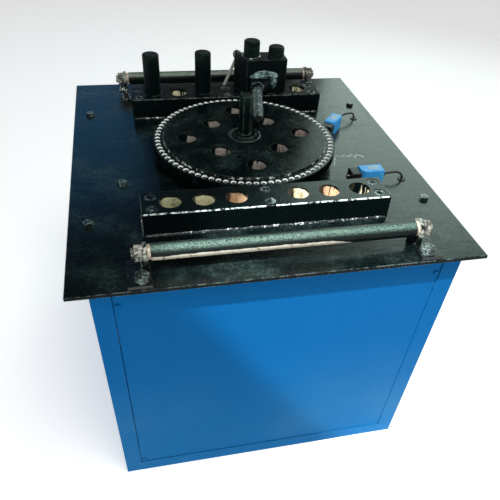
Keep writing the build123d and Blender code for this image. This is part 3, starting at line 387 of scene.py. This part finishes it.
def roller_bare_and_sheen(row_y, strip, sheen):
    """Rubbed roller: a painted speckled highlight along its top, and a worn strip of pale steel along the
    lower outside.
    """
    def bare_and_highlight(s):
        high = s.math("DIVIDE", s.less(s.axis("Z"), ROLLER_Z), ROLLER * math.sqrt(2))
        out = s.math("DIVIDE", s.less(s.axis("Y"), row_y), ROLLER * math.sqrt(2))
        up = s.math("ADD", high, out)
        fade = s.times(s.step(s.axis("X"), 0.06, 0.22), -0.7)
        waver = s.times(s.less(s.noise(9.0, 5.0, 0.65), 0.5), 0.75)
        level = s.math("ADD", s.math("ADD", fade, waver), strip)
        worn = s.step(s.less(level, up), -0.02, 0.05)
        pits = s.step(s.noise(120.0, 5.0, 0.7), 0.54, 0.64)
        # Painted highlight: a speckled pale band along the roller's top.
        crown = s.times(s.step(up, -0.45, 0.25), s.step(up, 0.92, 0.35))
        crown_highlight = s.times(crown, s.step(s.noise(340.0, 4.0, 0.75), 0.34, 0.62))
        tone = s.blend(worn, sheen, s.blend(pits, ROLLER_STEEL, ROLLER_PITS))
        return s.math("MAXIMUM", worn, s.times(crown_highlight, 0.75)), tone, 0.05
    return bare_and_highlight


def pin_top_sheen(s):
    """Painted highlight: a greenish sheen on the upper part of the pins, where the light falls."""
    high = s.step(s.axis("Z"), 0.800, 0.862)
    cloud = s.step(s.noise(38.0, 5.0, 0.65), 0.34, 0.66)
    return s.times(s.times(high, cloud), 0.6), PIN_SHEEN, 0.0


def plain_metal(name, colour, dark, rough, metallic=1.0, lumps=0.0001):
    """Bare or plated metal with mottling and worn edges."""
    s = Shader(name, metallic=metallic)
    mottle = s.noise(120.0, 6.0, 0.7)
    broad = s.noise(120.0 / 9, 4.0, 0.6)
    tone = s.step(s.times(mottle, s.math("ADD", broad, 0.5)), 0.30, 0.72)
    colour = s.blend(tone, dark, colour)
    edge = s.times(s.edges(0.0010), 0.6)
    colour = s.blend(edge, colour, tuple(min(1.0, c * 1.5 + 0.05) for c in BARE))
    s.bump((mottle, lumps), (broad, lumps * 3), round_edges=0.0007)
    return s.finish(colour, s.between(mottle, rough - 0.1, rough + 0.15))


def blue_enamel(name):
    """Sprayed blue enamel on sheet steel, a little wavy, with painted light that makes it lighter low down,
    in paler clouds there.
    """
    s = Shader(name, coat=0.0)
    broad = s.noise(2.2, 4.0, 0.5)
    peel = s.noise(260.0, 3.0, 0.5)
    dirt = s.noise(30.0, 7.0, 0.72)
    low = s.step(s.axis("Z"), 0.50, 0.0)
    cloud = s.step(s.noise(3.2, 3.0, 0.5), 0.42, 0.72)
    colour = s.blend(broad, BLUE_DEEP, BLUE)
    colour = s.blend(s.times(s.step(dirt, 0.50, 0.80), 0.14), colour, BLUE_GRIME)
    # Painted light: lighter blue towards the bottom, partly in paler clouds.
    colour = s.blend(s.times(low, 0.16), colour, BLUE_LOW_LIGHT)
    colour = s.blend(s.times(s.times(low, cloud), 0.20), colour, BLUE_LOW_CLOUD)
    edge = s.times(s.edges(0.0015), s.step(s.noise(45.0, 5.0, 0.7), 0.50, 0.68))
    colour = s.blend(s.times(edge, 0.45), colour, BLUE_EDGE)
    s.bump((broad, 0.0012), (peel, 0.00005), round_edges=0.0012)
    return s.finish(colour, s.between(s.step(dirt, 0.35, 0.75), 0.40, 0.54), specular=0.02)


def plastic(name, colour, light, rough, size=60.0):
    """Moulded plastic or rubber with a fine grain."""
    s = Shader(name)
    grime = s.noise(size, 6.0, 0.7)
    grain = s.noise(900.0, 2.0, 0.5)
    mixed = s.blend(s.step(grime, 0.40, 0.75), colour, light)
    edge = s.times(s.edges(0.0008), 0.35)
    mixed = s.blend(edge, mixed, tuple(min(1.0, c * 1.6 + 0.03) for c in light))
    s.bump((grime, 0.00012), (grain, 0.00004), round_edges=0.0006)
    return s.finish(mixed, s.between(grime, rough - 0.08, rough + 0.12))


def lumpy(name, pale, dark, share, rise=None):
    """Thick, spattered black paint through which pale rough metal shows, more of it above a level, which on
    the boss weld is a painted highlight on its top; painted shade darkens the hollows between the lumps.
    """
    s = Shader(name, metallic=0.1, coat=0.25, coat_roughness=0.15)
    lumps = s.noise(190.0, 5.0, 0.7)
    broad = s.noise(48.0, 4.0, 0.6)
    mixed = s.math("ADD", s.times(lumps, 0.5), s.times(broad, 0.5))
    # Above the level the pale shows more; on the boss weld this is a painted highlight on its lit top.
    if rise is not None:
        above = s.step(s.axis("Z"), rise - 0.008, rise + 0.008)
        mixed = s.math("ADD", mixed, s.times(above, 0.16))
    bare_and_highlight = s.step(mixed, 0.56 - share, 0.66 - share)
    colour = s.blend(bare_and_highlight, dark, pale)
    # Painted shade: the hollows between the lumps are darkened.
    colour = s.blend(s.times(s.step(lumps, 0.56, 0.42), 0.6), colour, dark)
    s.bump((broad, 0.0016), (lumps, 0.0009), round_edges=0.0012)
    return s.finish(colour, s.between(bare_and_highlight, 0.20, 0.45), specular=0.45)


front_bar_bare_and_glints = bar_bare_and_glints([(x, -BAR_ROW) for x in FRONT_HOLES], FRONT_BOLTS, -BAR_ROW - BAR_HALF_DEPTH,
                          lip=1.0, reach=0.62, dim_from=0.175)
rear_bar_bare_and_glints = bar_bare_and_glints([(x, BAR_ROW) for x in REAR_HOLES], REAR_BOLTS, BAR_ROW - BAR_HALF_DEPTH,
                         lip=0.10, reach=0.35)
materials = {
    # The plate's pale edge colour is a painted highlight along its edges.
    "plate": black_enamel("black_plate", (1, 3.2, 1), wear_and_glint=0.6, gloss=0.17, lumps=0.00012, dust=0.55,
                          edge_colour=(0.48, 0.62, 0.57), edge_width=0.0013, film=0.45, upright=0.04),
    "front_bar": black_enamel("black_front_bar", (3, 1, 1), wear_and_glint=1.0, gloss=0.16, dust=0.12, specular=0.22,
                              edge_colour=EDGE_GLINT, edge_width=0.0012, bare_and_highlight=front_bar_bare_and_glints,
                              rims=bar_rims(FRONT_MIDDLE, -BAR_ROW)),
    "rear_bar": black_enamel("black_rear_bar", (3, 1, 1), wear_and_glint=0.5, gloss=0.24, dust=0.30, specular=0.08,
                             edge_colour=(0.12, 0.19, 0.17), edge_width=0.0026, coat=0.03,
                             bare_and_highlight=rear_bar_bare_and_glints, rims=bar_rims(REAR_MIDDLE, BAR_ROW)),
    "disc": black_enamel("black_disc", bare_and_highlight=disc_bare_and_glints, wear_and_glint=0.3, gloss=0.10, lumps=0.00008,
                         dust=0.9, film=0.45, specular=0.10, coat=0.02, upright=0.0),
    # The pins' green edge colour is a painted highlight on their top edges.
    "part": black_enamel("black_part", (2, 2, 1), wear_and_glint=0.55, gloss=0.30, lumps=0.0004, dust=0.12,
                         edge_colour=(0.16, 0.27, 0.22), edge_width=0.0045, specular=0.05, coat=0.0,
                         bare_and_highlight=pin_top_sheen),
    # The stop block's pale edge colour is a painted highlight along its edges.
    "stop": black_enamel("black_stop", (1, 1, 2), wear_and_glint=1.0, gloss=0.26, lumps=0.0004, dust=0.12,
                         edge_colour=(0.42, 0.56, 0.53), edge_width=0.0036, specular=0.08, coat=0.02),
    # The rollers' sheen colours are painted highlights along their tops.
    "front_roller": black_enamel("black_front_roller", (0.5, 1, 1), gloss=0.24, lumps=0.0007, dust=0.3,
                                 specular=0.14, coat=0.03,
                                 bare_and_highlight=roller_bare_and_sheen(-ROLLER_Y, -0.68, (0.17, 0.28, 0.23))),
    "rear_roller": black_enamel("black_rear_roller", (0.5, 1, 1), gloss=0.30, lumps=0.0003, dust=0.5,
                                specular=0.2, bare_and_highlight=roller_bare_and_sheen(ROLLER_Y, -1.6, (0.40, 0.50, 0.41))),
    "pale_nut": lumpy("spattered_nut", (0.40, 0.40, 0.33), (0.05, 0.055, 0.05), 0.10),
    "dark_lug": lumpy("spattered_lug", (0.34, 0.37, 0.31), (0.004, 0.007, 0.007), -0.06, rise=0.716),
    # Bolts: pale metal through the spatter, made brighter as a painted highlight.
    "lumpy": lumpy("spattered_bolt_with_glints", (0.19, 0.27, 0.25), (0.008, 0.014, 0.014), 0.08),
    # Grease whose pale colour is a painted highlight of wet glints.
    "grease": lumpy("grease_with_painted_glints", (0.50, 0.60, 0.57), (0.006, 0.010, 0.010), -0.06),
    # Thread crests: pale worn steel, made brighter as a painted highlight.
    "thread": lumpy("thread_crests", (0.24, 0.34, 0.32), (0.05, 0.085, 0.08), 0.04),
    "screw_core": lumpy("screw_core", (0.05, 0.08, 0.075), (0.006, 0.012, 0.011), -0.06),
    # Weld beads: pale weld metal, made brighter as a painted highlight along them.
    "bead": lumpy("weld_with_painted_glints", (0.72, 0.80, 0.77), (0.006, 0.012, 0.012), 0.04),
    # The boss weld's paler top is a painted highlight.
    "boss_weld": lumpy("boss_weld_metal", (0.27, 0.41, 0.39), (0.030, 0.065, 0.062), -0.07, rise=0.780),
    "blue": blue_enamel("blue_cabinet"),
    "dark_steel": plain_metal("dark_steel", (0.13, 0.13, 0.125), (0.03, 0.03, 0.03), 0.38),
    "bare_steel": plain_metal("bare_steel", (0.72, 0.66, 0.54), (0.36, 0.28, 0.19), 0.48, metallic=0.3),
    "pale_bar": plain_metal("pale_bar", (0.58, 0.62, 0.53), (0.36, 0.40, 0.34), 0.5, metallic=0.1),
    "zinc": plain_metal("zinc_screw", (0.50, 0.51, 0.52), (0.16, 0.15, 0.14), 0.35),
    "cast": plain_metal("cast_grey", (0.20, 0.22, 0.23), (0.09, 0.10, 0.10), 0.55, metallic=0.2,
                        lumps=0.0003),
    "bearing": plain_metal("bearing_steel", (0.66, 0.67, 0.68), (0.45, 0.45, 0.46), 0.22),
    "bronze": plain_metal("bush_bronze", (0.56, 0.40, 0.18), (0.28, 0.18, 0.08), 0.35),
    "motor": plain_metal("motor_grey", (0.30, 0.33, 0.34), (0.15, 0.17, 0.18), 0.45, metallic=0.3),
    "box": plastic("box_grey", (0.42, 0.43, 0.41), (0.52, 0.52, 0.50), 0.42),
    "switch": plastic("switch_blue", (0.035, 0.36, 0.86), (0.12, 0.56, 0.96), 0.36),
    "label": plastic("label_print", (0.30, 0.55, 0.72), (0.50, 0.68, 0.78), 0.5, size=900.0),
    "paint_stroke": plastic("white_strokes", (0.62, 0.66, 0.62), (0.80, 0.82, 0.78), 0.6, size=300.0),
    "black_plastic": plastic("black_plastic", (0.006, 0.007, 0.008), (0.025, 0.027, 0.030), 0.40),
    "rubber": plastic("lead_rubber", (0.005, 0.005, 0.006), (0.016, 0.017, 0.018), 0.42),
    "belt": plastic("belt_rubber", (0.012, 0.012, 0.012), (0.05, 0.05, 0.05), 0.65),
}
dressed = {
    "plate": ["table_plate", "guard_ring"],
    "front_bar": ["front_bar"],
    "rear_bar": ["rear_bar"],
    "disc": ["turntable"],
    "part": ["rear_pin_outer", "rear_pin_second", "centre_post", "stop_pins"],
    "stop": ["stop_block"],
    "front_roller": ["front_roller_tube"],
    "rear_roller": ["rear_roller_tube"],
    "lumpy": ["table_bolts", "bar_bolts"],
    "screw_core": ["adjusting_screw"],
    "pale_nut": ["roller_nuts", "roller_rods"],
    "dark_lug": ["roller_lugs"],
    "blue": ["panel_screws", "corner_posts", "bottom_rails", "top_rails", "front_panel", "rear_panel",
             "side_panels", "panel_tabs", "machine_beams"],
    "dark_steel": ["clamp_stud", "main_shaft", "bull_gear", "pinion", "gearbox_shaft", "worm_shaft",
                   "motor_shaft"],
    "bare_steel": ["roller_spacers"],
    "pale_bar": ["tommy_bar"],
    "zinc": ["front_switch_plunger", "rear_switch_plunger"],
    "cast": ["bearing_housing", "gearbox_housing", "gearbox_cover", "driven_pulley", "motor_pulley"],
    "bearing": ["main_bearings"],
    "bronze": ["front_roller_bushes", "rear_roller_bushes", "worm_wheel"],
    "motor": ["motor_casing", "fan_cowl"],
    "box": ["control_box"],
    "switch": ["switch_bodies"],
    "black_plastic": ["switch_heads", "switch_glands", "supply_gland", "motor_fan"],
    "rubber": ["lead_grommets"],
    "belt": ["drive_belts"],
}
for key, names in dressed.items():
    for name in names:
        data = nodes[name].data
        data.materials.clear()
        data.materials.append(materials[key])


# ---------------------------------------------------------------- leads
def level_turn(degrees):
    """Level unit vector turned from +X by an angle in degrees."""
    return Vector((math.cos(math.radians(degrees)), math.sin(math.radians(degrees)), 0))


def lead(name, points, body):
    curve = bpy.data.curves.new(name, "CURVE")
    curve.dimensions = "3D"
    curve.bevel_depth = 0.0025
    curve.bevel_resolution = 4
    curve.resolution_u = 8
    spline = curve.splines.new("NURBS")
    spline.points.add(len(points) - 1)
    for point, place in zip(spline.points, points):
        point.co = (*place, 1.0)
    spline.order_u = 3
    spline.use_endpoint_u = True
    curve.materials.append(materials["rubber"])
    obj = bpy.data.objects.new(name, curve)
    scene.collection.objects.link(obj)
    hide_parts(name.replace("flex", "switch_lead"))
    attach(obj, body)


def lead_route(switch, hole):
    """A lead's route: out of the gland, over in a low arch and down through the table."""
    x, y, turn = switch
    along = level_turn(turn)
    start = Vector((x, y, TABLE + 0.019)) + along * 0.037
    points = [start, start + along * 0.012]
    over = Vector((hole[0], hole[1], start.z)) - points[1]
    turns = [(0.010, math.radians(35)), (0.009, math.radians(62))]
    arch = (over.length - sum(run * math.cos(slope) for run, slope in turns)) / 2
    steps = [(arch, arch * math.tan(math.radians(10))), (arch, -arch * math.tan(math.radians(8)))]
    steps += [(run * math.cos(slope), -run * math.sin(slope)) for run, slope in turns]
    for reach, climb in steps:
        points.append(points[-1] + over.normalized() * reach + Vector((0, 0, climb)))
    return points + [Vector((hole[0], hole[1], TABLE - 0.014))]


# Each switch's place on the table and its turn in degrees.
FRONT_SWITCH = (0.279, -0.162, 0.0)
REAR_SWITCH = (0.273, 0.108, 50.0)
front_route = lead_route(FRONT_SWITCH, (0.366, -0.163))
rear_route = lead_route(REAR_SWITCH, (0.362, 0.172))
lead("front_flex", front_route, "machine")
lead("rear_flex", rear_route, "machine")


# ---------------------------------------------------------------- mesh helpers
def mesh_object(name, verts, faces, material, body, smooth=True):
    data = bpy.data.meshes.new(name)
    data.from_pydata([tuple(v) for v in verts], [], faces)
    data.validate()
    data.update()
    for polygon in data.polygons:
        polygon.use_smooth = smooth
    data.materials.append(material)
    obj = bpy.data.objects.new(name, data)
    scene.collection.objects.link(obj)
    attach(obj, body)
    return obj


def weld_bead(name, path, up, width, height, material, body, seed):
    """Weld bead along a path: overlapping ripples on a rounded ridge, uneven like a hand weld."""
    rng = random.Random(seed)
    path = [Vector(p) for p in path]
    up = Vector(up).normalized()
    lengths = [0.0]
    for a, b in zip(path, path[1:]):
        lengths.append(lengths[-1] + (b - a).length)
    total = lengths[-1]
    pitch = width * 0.42
    count = max(4, int(total / pitch) * 4)
    offset = rng.uniform(0, 50)
    around = 9
    verts = []
    for i in range(count + 1):
        s = total * i / count
        k = max(j for j in range(len(lengths)) if lengths[j] <= s + 1e-9)
        k = min(k, len(path) - 2)
        t = (s - lengths[k]) / max(1e-9, lengths[k + 1] - lengths[k])
        centre = path[k].lerp(path[k + 1], t)
        along = (path[k + 1] - path[k]).normalized()
        side = along.cross(up).normalized()
        ripple = 0.80 + 0.20 * abs(math.sin(math.pi * s / pitch))
        wander = noise.noise(Vector((s * 60, offset, 0)))
        swell = 1.0 + 0.28 * noise.noise(Vector((s * 130, offset, 7)))
        end = min(1.0, (min(s, total - s) + width * 0.15) / (width * 0.6)) ** 0.5
        centre = centre + side * wander * width * 0.16
        for j in range(around):
            a = math.pi * (j / (around - 1))
            rough = 1 + 0.10 * noise.noise(Vector((s * 400, j * 1.7, offset)))
            out = math.cos(a) * width / 2 * swell * rough * end
            high = math.sin(a) * height * ripple * swell * rough * end
            if j in (0, around - 1):
                high = -0.0012
            verts.append(centre + side * out + up * high)
    faces = []
    for i in range(count):
        for j in range(around - 1):
            a = i * around + j
            faces.append((a, a + around, a + around + 1, a + 1))
    faces.append(tuple(range(around)))
    faces.append(tuple(range(count * around + around - 1, count * around - 1, -1)))
    for i in range(count):
        a = i * around
        faces.append((a, a + around - 1, a + 2 * around - 1, a + around))
    return mesh_object(name, verts, faces, material, body)


# ---------------------------------------------------------------- welds and other details
def bead(name, path, up, width, height, body="machine", seed=1):
    weld_bead(name, path, up, width, height, materials["bead"], body, seed)


def ring(x, y, z, radius):
    """A level circle, closed with its own first point."""
    return [(x + radius * math.cos(a), y + radius * math.sin(a), z)
            for a in [math.radians(12 * k) for k in range(31)]]


FRONT_LEFT, FRONT_RIGHT = FRONT_MIDDLE - 0.268, FRONT_MIDDLE + 0.268
FRONT_FACE, REAR_FACE = -BAR_ROW - BAR_HALF_DEPTH, BAR_ROW - BAR_HALF_DEPTH
bead("weld_bar_front", [(FRONT_LEFT + 0.002, FRONT_FACE, TABLE), (FRONT_RIGHT - 0.002, FRONT_FACE, TABLE)],
     (0, -0.8, 0.6), 0.008, 0.0035, seed=3)
bead("weld_bar_left", [(FRONT_LEFT, FRONT_FACE, TABLE), (FRONT_LEFT, FRONT_FACE + 0.082, TABLE)],
     (-0.7, 0, 0.7), 0.007, 0.003, seed=5)
bead("weld_bar_right", [(FRONT_RIGHT, FRONT_FACE, TABLE), (FRONT_RIGHT, FRONT_FACE + 0.082, TABLE)],
     (0.7, 0, 0.7), 0.007, 0.003, seed=6)
bead("weld_rear_bar", [(-0.264, REAR_FACE, TABLE), (0.268, REAR_FACE, TABLE)],
     (0, -0.8, 0.6), 0.006, 0.0025, seed=7)
bead("weld_rear_bar_right", [(0.270, REAR_FACE, TABLE), (0.270, REAR_FACE + 0.082, TABLE)],
     (0.7, 0, 0.7), 0.007, 0.003, seed=8)


def mound(name, centre, half, out, lump, material, body, seed):
    """Rough heap of weld metal standing on an upright face that looks along -Y."""
    rng = random.Random(seed)
    offset = rng.uniform(0, 40)
    rings, around = 9, 36
    verts = [Vector(centre) + Vector((0, -out, 0))]
    for r in range(1, rings + 1):
        t = r / rings
        for k in range(around):
            a = 2 * math.pi * k / around
            x, z = math.cos(a) * half[0] * t, math.sin(a) * half[1] * t
            wander = 1 + 0.16 * noise.noise(Vector((math.cos(a) * 2, math.sin(a) * 2, offset)))
            rough = lump * noise.noise(Vector((x * 110, z * 110, offset))) * (1 - t * t)
            outward = -out * math.sqrt(1 - t * t) - rough + 0.001 * t
            verts.append(Vector(centre) + Vector((x * wander, outward, z * wander)))
    faces = [(0, 1 + (k + 1) % around, 1 + k) for k in range(around)]
    for r in range(rings - 1):
        a = 1 + r * around
        faces += [(a + k, a + (k + 1) % around, a + around + (k + 1) % around, a + around + k)
                  for k in range(around)]
    faces.append(tuple(1 + (rings - 1) * around + k for k in range(around - 1, -1, -1)))
    return mesh_object(name, verts, faces, material, body)


# Weld metal heaped round the adjusting screw's boss: x, y and z of each heap, half its width and
# height, how far it stands out, and how rough it is.
BOSS_HEAPS = [
    ("boss_weld_top", (STOP_X - 0.004, STOP_FRONT - 0.001, 0.791), (0.038, 0.017), 0.019, 0.014, 31),
    ("boss_weld_left", (STOP_X - 0.024, STOP_FRONT - 0.003, 0.778), (0.016, 0.018), 0.028, 0.010, 32),
    ("boss_weld_right", (STOP_X + 0.019, STOP_FRONT - 0.001, 0.777), (0.017, 0.018), 0.018, 0.010, 33),
]
for name, centre, half, out, lump, seed in BOSS_HEAPS:
    mound(name, centre, half, out, lump, materials["boss_weld"], "stop", seed)

bead("weld_tall_pin", ring(STOP_X - 0.035, BAR_ROW, STOP_TOP, 0.0235), (0, 0, 1), 0.007, 0.0035, "stop",
     seed=12)
# A ring of grease round the post's base, its pale colour a painted highlight of wet glints.
weld_bead("glinting_grease_ring", ring(0, 0, DISC_TOP, 0.0365), (0, 0, 1), 0.008, 0.0030, materials["grease"],
          "turntable_body", 15)

# The rear lugs stand in heavy lumps of weld, the front ones on feet with a bead on either side.
LUG_X, FRONT_LUG_SHIFT, LUG_HALF = 0.281, 0.005, 0.004
for side, x in (("left", -LUG_X), ("right", LUG_X)):
    bead("weld_rear_lug_side_" + side, [(x * 1.025, 0.396, 0.716), (x * 1.02, 0.388, 0.692)], (0, -1, 0.2),
         0.022, 0.010, seed=19)
    bead("weld_rear_lug_" + side, [(x - 0.004, 0.388, TABLE + 0.002), (x + 0.004, 0.386, TABLE + 0.003)],
         (0, -0.6, 0.8), 0.022, 0.012, seed=20)
    bead("weld_rear_lug_foot_" + side, [(x, 0.384, TABLE), (x + 0.004, 0.345, TABLE)], (0, 0, 1), 0.024,
         0.012, seed=21)
    inner = x + FRONT_LUG_SHIFT - math.copysign(LUG_HALF, x)
    outer = x + FRONT_LUG_SHIFT + math.copysign(LUG_HALF, x)
    bead("weld_front_lug_" + side, [(outer, -0.432, 0.698), (outer, -0.394, 0.698)],
         (math.copysign(0.7, x), 0, 0.7), 0.008, 0.004, seed=23)
    bead("weld_front_lug_in_" + side, [(inner, -0.432, 0.698), (inner, -0.394, 0.698)],
         (math.copysign(0.7, -x), 0, 0.7), 0.006, 0.003, seed=24)


def helix(name, start, end, radius, thread, pitch, material, body):
    """Raised thread wound round an axis, tapering into the core at both ends."""
    start, end = Vector(start), Vector(end)
    axis = (end - start).normalized()
    length = (end - start).length
    side = axis.cross(Vector((0, 0, 1))).normalized()
    other = axis.cross(side)
    per_turn = 28
    count = int(length / pitch * per_turn)
    verts, faces = [], []
    for i in range(count + 1):
        angle = 2 * math.pi * i / per_turn
        at = start + axis * (length * i / count)
        out = side * math.cos(angle) + other * math.sin(angle)
        high = thread * min(1.0, 0.1 + min(i, count - i) / per_turn)
        for along, lift in ((-0.42, -0.0006), (-0.12, high), (0.12, high), (0.42, -0.0006)):
            verts.append(at + axis * along * pitch + out * (radius + lift))
    for i in range(count):
        a = 4 * i
        for j in range(3):
            faces.append((a + j, a + j + 1, a + j + 5, a + j + 4))
        faces.append((a + 3, a, a + 4, a + 7))
    faces.append((3, 2, 1, 0))
    faces.append((4 * count, 4 * count + 1, 4 * count + 2, 4 * count + 3))
    return mesh_object(name, verts, faces, material, body, smooth=False)


SCREW_TURN = math.radians(11.5)
THREAD_START, THREAD_END = 0.250, 0.086
screw_axis = Vector((math.sin(SCREW_TURN), math.cos(SCREW_TURN), 0))
screw_middle = Vector((0.0885, BAR_ROW, 0.775))
helix("screw_thread", screw_middle - screw_axis * THREAD_START, screw_middle - screw_axis * THREAD_END,
      0.011, 0.0018, 0.0110, materials["thread"], "stop_screw")


def ribbon(name, points, width, height, material):
    """Thin raised stroke over a flat face, with rounded shoulders and an uneven width."""
    points = [Vector(p) for p in points]
    verts, faces = [], []
    for i, point in enumerate(points):
        ahead = points[min(i + 1, len(points) - 1)] - points[max(i - 1, 0)]
        side = ahead.normalized().cross(Vector((0, 0, 1)))
        half = width / 2 * (0.75 + 0.5 * noise.noise(point * 90))
        for across, lift in ((-1, -0.0002), (-0.7, height), (0.7, height), (1, -0.0002)):
            verts.append(point + side * across * half + Vector((0, 0, lift)))
    for i in range(len(points) - 1):
        a = 4 * i
        for j in range(3):
            faces.append((a + j, a + j + 1, a + j + 5, a + j + 4))
        faces.append((a + 3, a, a + 4, a + 7))
    last = 4 * (len(points) - 1)
    faces.append((3, 2, 1, 0))
    faces.append((last, last + 1, last + 2, last + 3))
    return mesh_object(name, verts, faces, material, "machine")


def squiggle(name, start, along, rise, waves, reach):
    """Zigzag paint stroke without any letters in it."""
    start, along = Vector(start), Vector(along).normalized()
    across = Vector((0, 0, 1)).cross(along)
    steps = waves * 10
    points = []
    for i in range(steps + 1):
        t = i / steps
        turn = 2 * math.pi * waves * t
        wave = rise * (0.55 * math.sin(turn) + 0.45 * math.sin(1.7 * turn + 1.0))
        wave *= 0.7 + 0.4 * math.sin(5 * t + waves)
        points.append(start + along * reach * t + across * wave)
    ribbon(name, points, 0.0042, 0.0003, materials["paint_stroke"])


squiggle("stroke_front", (0.236, -0.036, TABLE), (1, -0.05, 0), 0.011, 4, 0.076)
squiggle("stroke_front_tail", (0.218, -0.083, TABLE), (0.35, 1, 0), 0.002, 1, 0.044)
squiggle("stroke_rear", (0.250, 0.150, TABLE), (0.75, -0.55, 0), 0.006, 2, 0.030)


def label(name, switch):
    """Printed plate on a switch's top, a thin slab with two short print bars."""
    x, y, turn = switch
    along = level_turn(turn)
    across = Vector((0, 0, 1)).cross(along)
    middle = Vector((x, y, TABLE + 0.036)) + along * 0.004
    outline = []
    for sx, sy in ((-1, -1), (1, -1), (1, 1), (-1, 1)):
        for k in range(5):
            a = math.atan2(sy, sx) + math.radians(-45 + 22.5 * k)
            outline.append((sx * 0.012 + 0.002 * math.cos(a), sy * 0.0065 + 0.002 * math.sin(a)))
    verts = []
    for inset, z in ((1.0, -0.0001), (1.0, 0.0003), (0.96, 0.0005)):
        verts += [middle + along * px * inset + across * py * inset + Vector((0, 0, z))
                  for px, py in outline]
    n = len(outline)
    faces = [tuple(range(n - 1, -1, -1)), tuple(range(2 * n, 3 * n))]
    for level in (0, n):
        faces += [(level + i, level + (i + 1) % n, level + n + (i + 1) % n, level + n + i)
                  for i in range(n)]
    mesh_object(name, verts, faces, materials["label"], "machine")
    for row in (-1, 1):
        start = middle - along * 0.009 + across * 0.003 * row + Vector((0, 0, 0.0005))
        points = [start + along * 0.018 * k / 12 for k in range(13)]
        ribbon(name + ("_print_low" if row < 0 else "_print_high"), points, 0.0022, 0.0002, materials["box"])


label("front_label", FRONT_SWITCH)
label("rear_label", REAR_SWITCH)


# ---------------------------------------------------------------- floor and light
def stage_piece(name, verts, faces, material):
    data = bpy.data.meshes.new(name)
    data.from_pydata(verts, [], faces)
    data.materials.append(material)
    obj = bpy.data.objects.new(name, data)
    scene.collection.objects.link(obj)


PALE = (0.92, 0.92, 0.91)
FADED = (0.024, 0.027, 0.030)
WHITE = (1.0, 1.0, 1.0, 1.0)


def floor_paint(name, glow):
    s = Shader(name)
    s.bump((s.noise(300.0, 3.0, 0.5), 0.0001))
    s.bsdf.inputs["Emission Color"].default_value = WHITE
    s.bsdf.inputs["Emission Strength"].default_value = glow
    return s.finish((*PALE, 1.0), 0.75)


# A round room. High up at the back its wall fades to dark grey, so that the table doesn't mirror it:
# wholly within BACK_FULL of the direction BACK, and not at all beyond BACK_NONE.
ROOM_RADIUS, ROOM_HEIGHT, ROOM_SIDES = 13.0, 7.0, 48
BACK = math.radians(77.5)
BACK_FULL, BACK_NONE = math.radians(48.0), math.radians(70.0)
FADE_LOW, FADE_HIGH = 2.6, 4.4


def wall_paint(name, glow):
    s = Shader(name)
    toward_back = s.math("ADD", s.times(s.axis("X"), math.cos(BACK)), s.times(s.axis("Y"), math.sin(BACK)))
    at_back = s.step(toward_back, ROOM_RADIUS * math.cos(BACK_NONE), ROOM_RADIUS * math.cos(BACK_FULL))
    grey = s.times(at_back, s.step(s.axis("Z"), FADE_LOW, FADE_HIGH))
    lit = s.less(1.0, s.times(grey, 0.96))
    s.bsdf.inputs["Emission Color"].default_value = WHITE
    s.feed(s.bsdf.inputs["Emission Strength"], s.times(lit, glow))
    return s.finish(s.blend(grey, PALE, FADED), 0.75)


floor_ring, wall_ring, wall_faces = [], [], []
for k in range(ROOM_SIDES):
    azimuth, following = 2 * math.pi * k / ROOM_SIDES, (k + 1) % ROOM_SIDES
    x, y = ROOM_RADIUS * math.cos(azimuth), ROOM_RADIUS * math.sin(azimuth)
    floor_ring.append((x, y, -0.0005))
    wall_ring.append((x, y, ROOM_HEIGHT))
    wall_faces.append((following, k, ROOM_SIDES + k, ROOM_SIDES + following))
stage_piece("studio_floor", floor_ring, [tuple(range(ROOM_SIDES))], floor_paint("pale_floor", 0.48))
stage_piece("studio_wall", floor_ring + wall_ring, wall_faces, wall_paint("pale_wall", 0.38))


def area_light(name, place, target, size, power, colour):
    data = bpy.data.lights.new(name, "AREA")
    data.shape = "RECTANGLE"
    data.size, data.size_y = size
    data.energy = power
    data.color = colour
    obj = bpy.data.objects.new(name, data)
    obj.location = place
    aim = Vector(target) - Vector(place)
    obj.rotation_euler = aim.to_track_quat("-Z", "Y").to_euler()
    scene.collection.objects.link(obj)


area_light("key", (0.6, -1.6, 4.2), (0, 0.2, 0.3), (2.0, 2.0), 95, (1.0, 0.99, 0.97))
area_light("front", (0.3, -3.6, 0.9), (0, 0, 0.35), (2.2, 1.2), 8, (0.95, 0.98, 1.0))
area_light("fill", (-2.8, -2.0, 2.2), (0, 0, 0.4), (2.4, 2.4), 16, (0.85, 0.95, 1.0))
area_light("back_right", (1.9, 2.3, 2.1), (0.3, 0, 0.7), (1.7, 1.5), 21, (0.76, 1.0, 0.90))
area_light("back_left", (-0.9, 3.0, 2.1), (0, 0, 0.7), (1.4, 1.2), 3.2, (0.05, 0.45, 1.0))


def spot_light(name, place, target, angle, blend, radius, power):
    """Lamp with a soft-edged cone."""
    data = bpy.data.lights.new(name, "SPOT")
    data.energy = power
    data.spot_size = math.radians(angle)
    data.spot_blend = blend
    data.shadow_soft_size = radius
    obj = bpy.data.objects.new(name, data)
    obj.location = place
    obj.rotation_euler = (Vector(target) - Vector(place)).to_track_quat("-Z", "Y").to_euler()
    scene.collection.objects.link(obj)


# The lamp's edge runs aslant over the front sheet, which is brighter below and right of it.
spot_light("lamp", (-1.95, -1.30, 3.35), (0.235, -0.45, 0.50), 10.6, 0.40, 0.03, 1250)

world = bpy.data.worlds.new("studio")
world.use_nodes = True
world.node_tree.nodes["Background"].inputs["Color"].default_value = (0.62, 0.68, 0.70, 1.0)
world.node_tree.nodes["Background"].inputs["Strength"].default_value = 0.05
scene.world = world
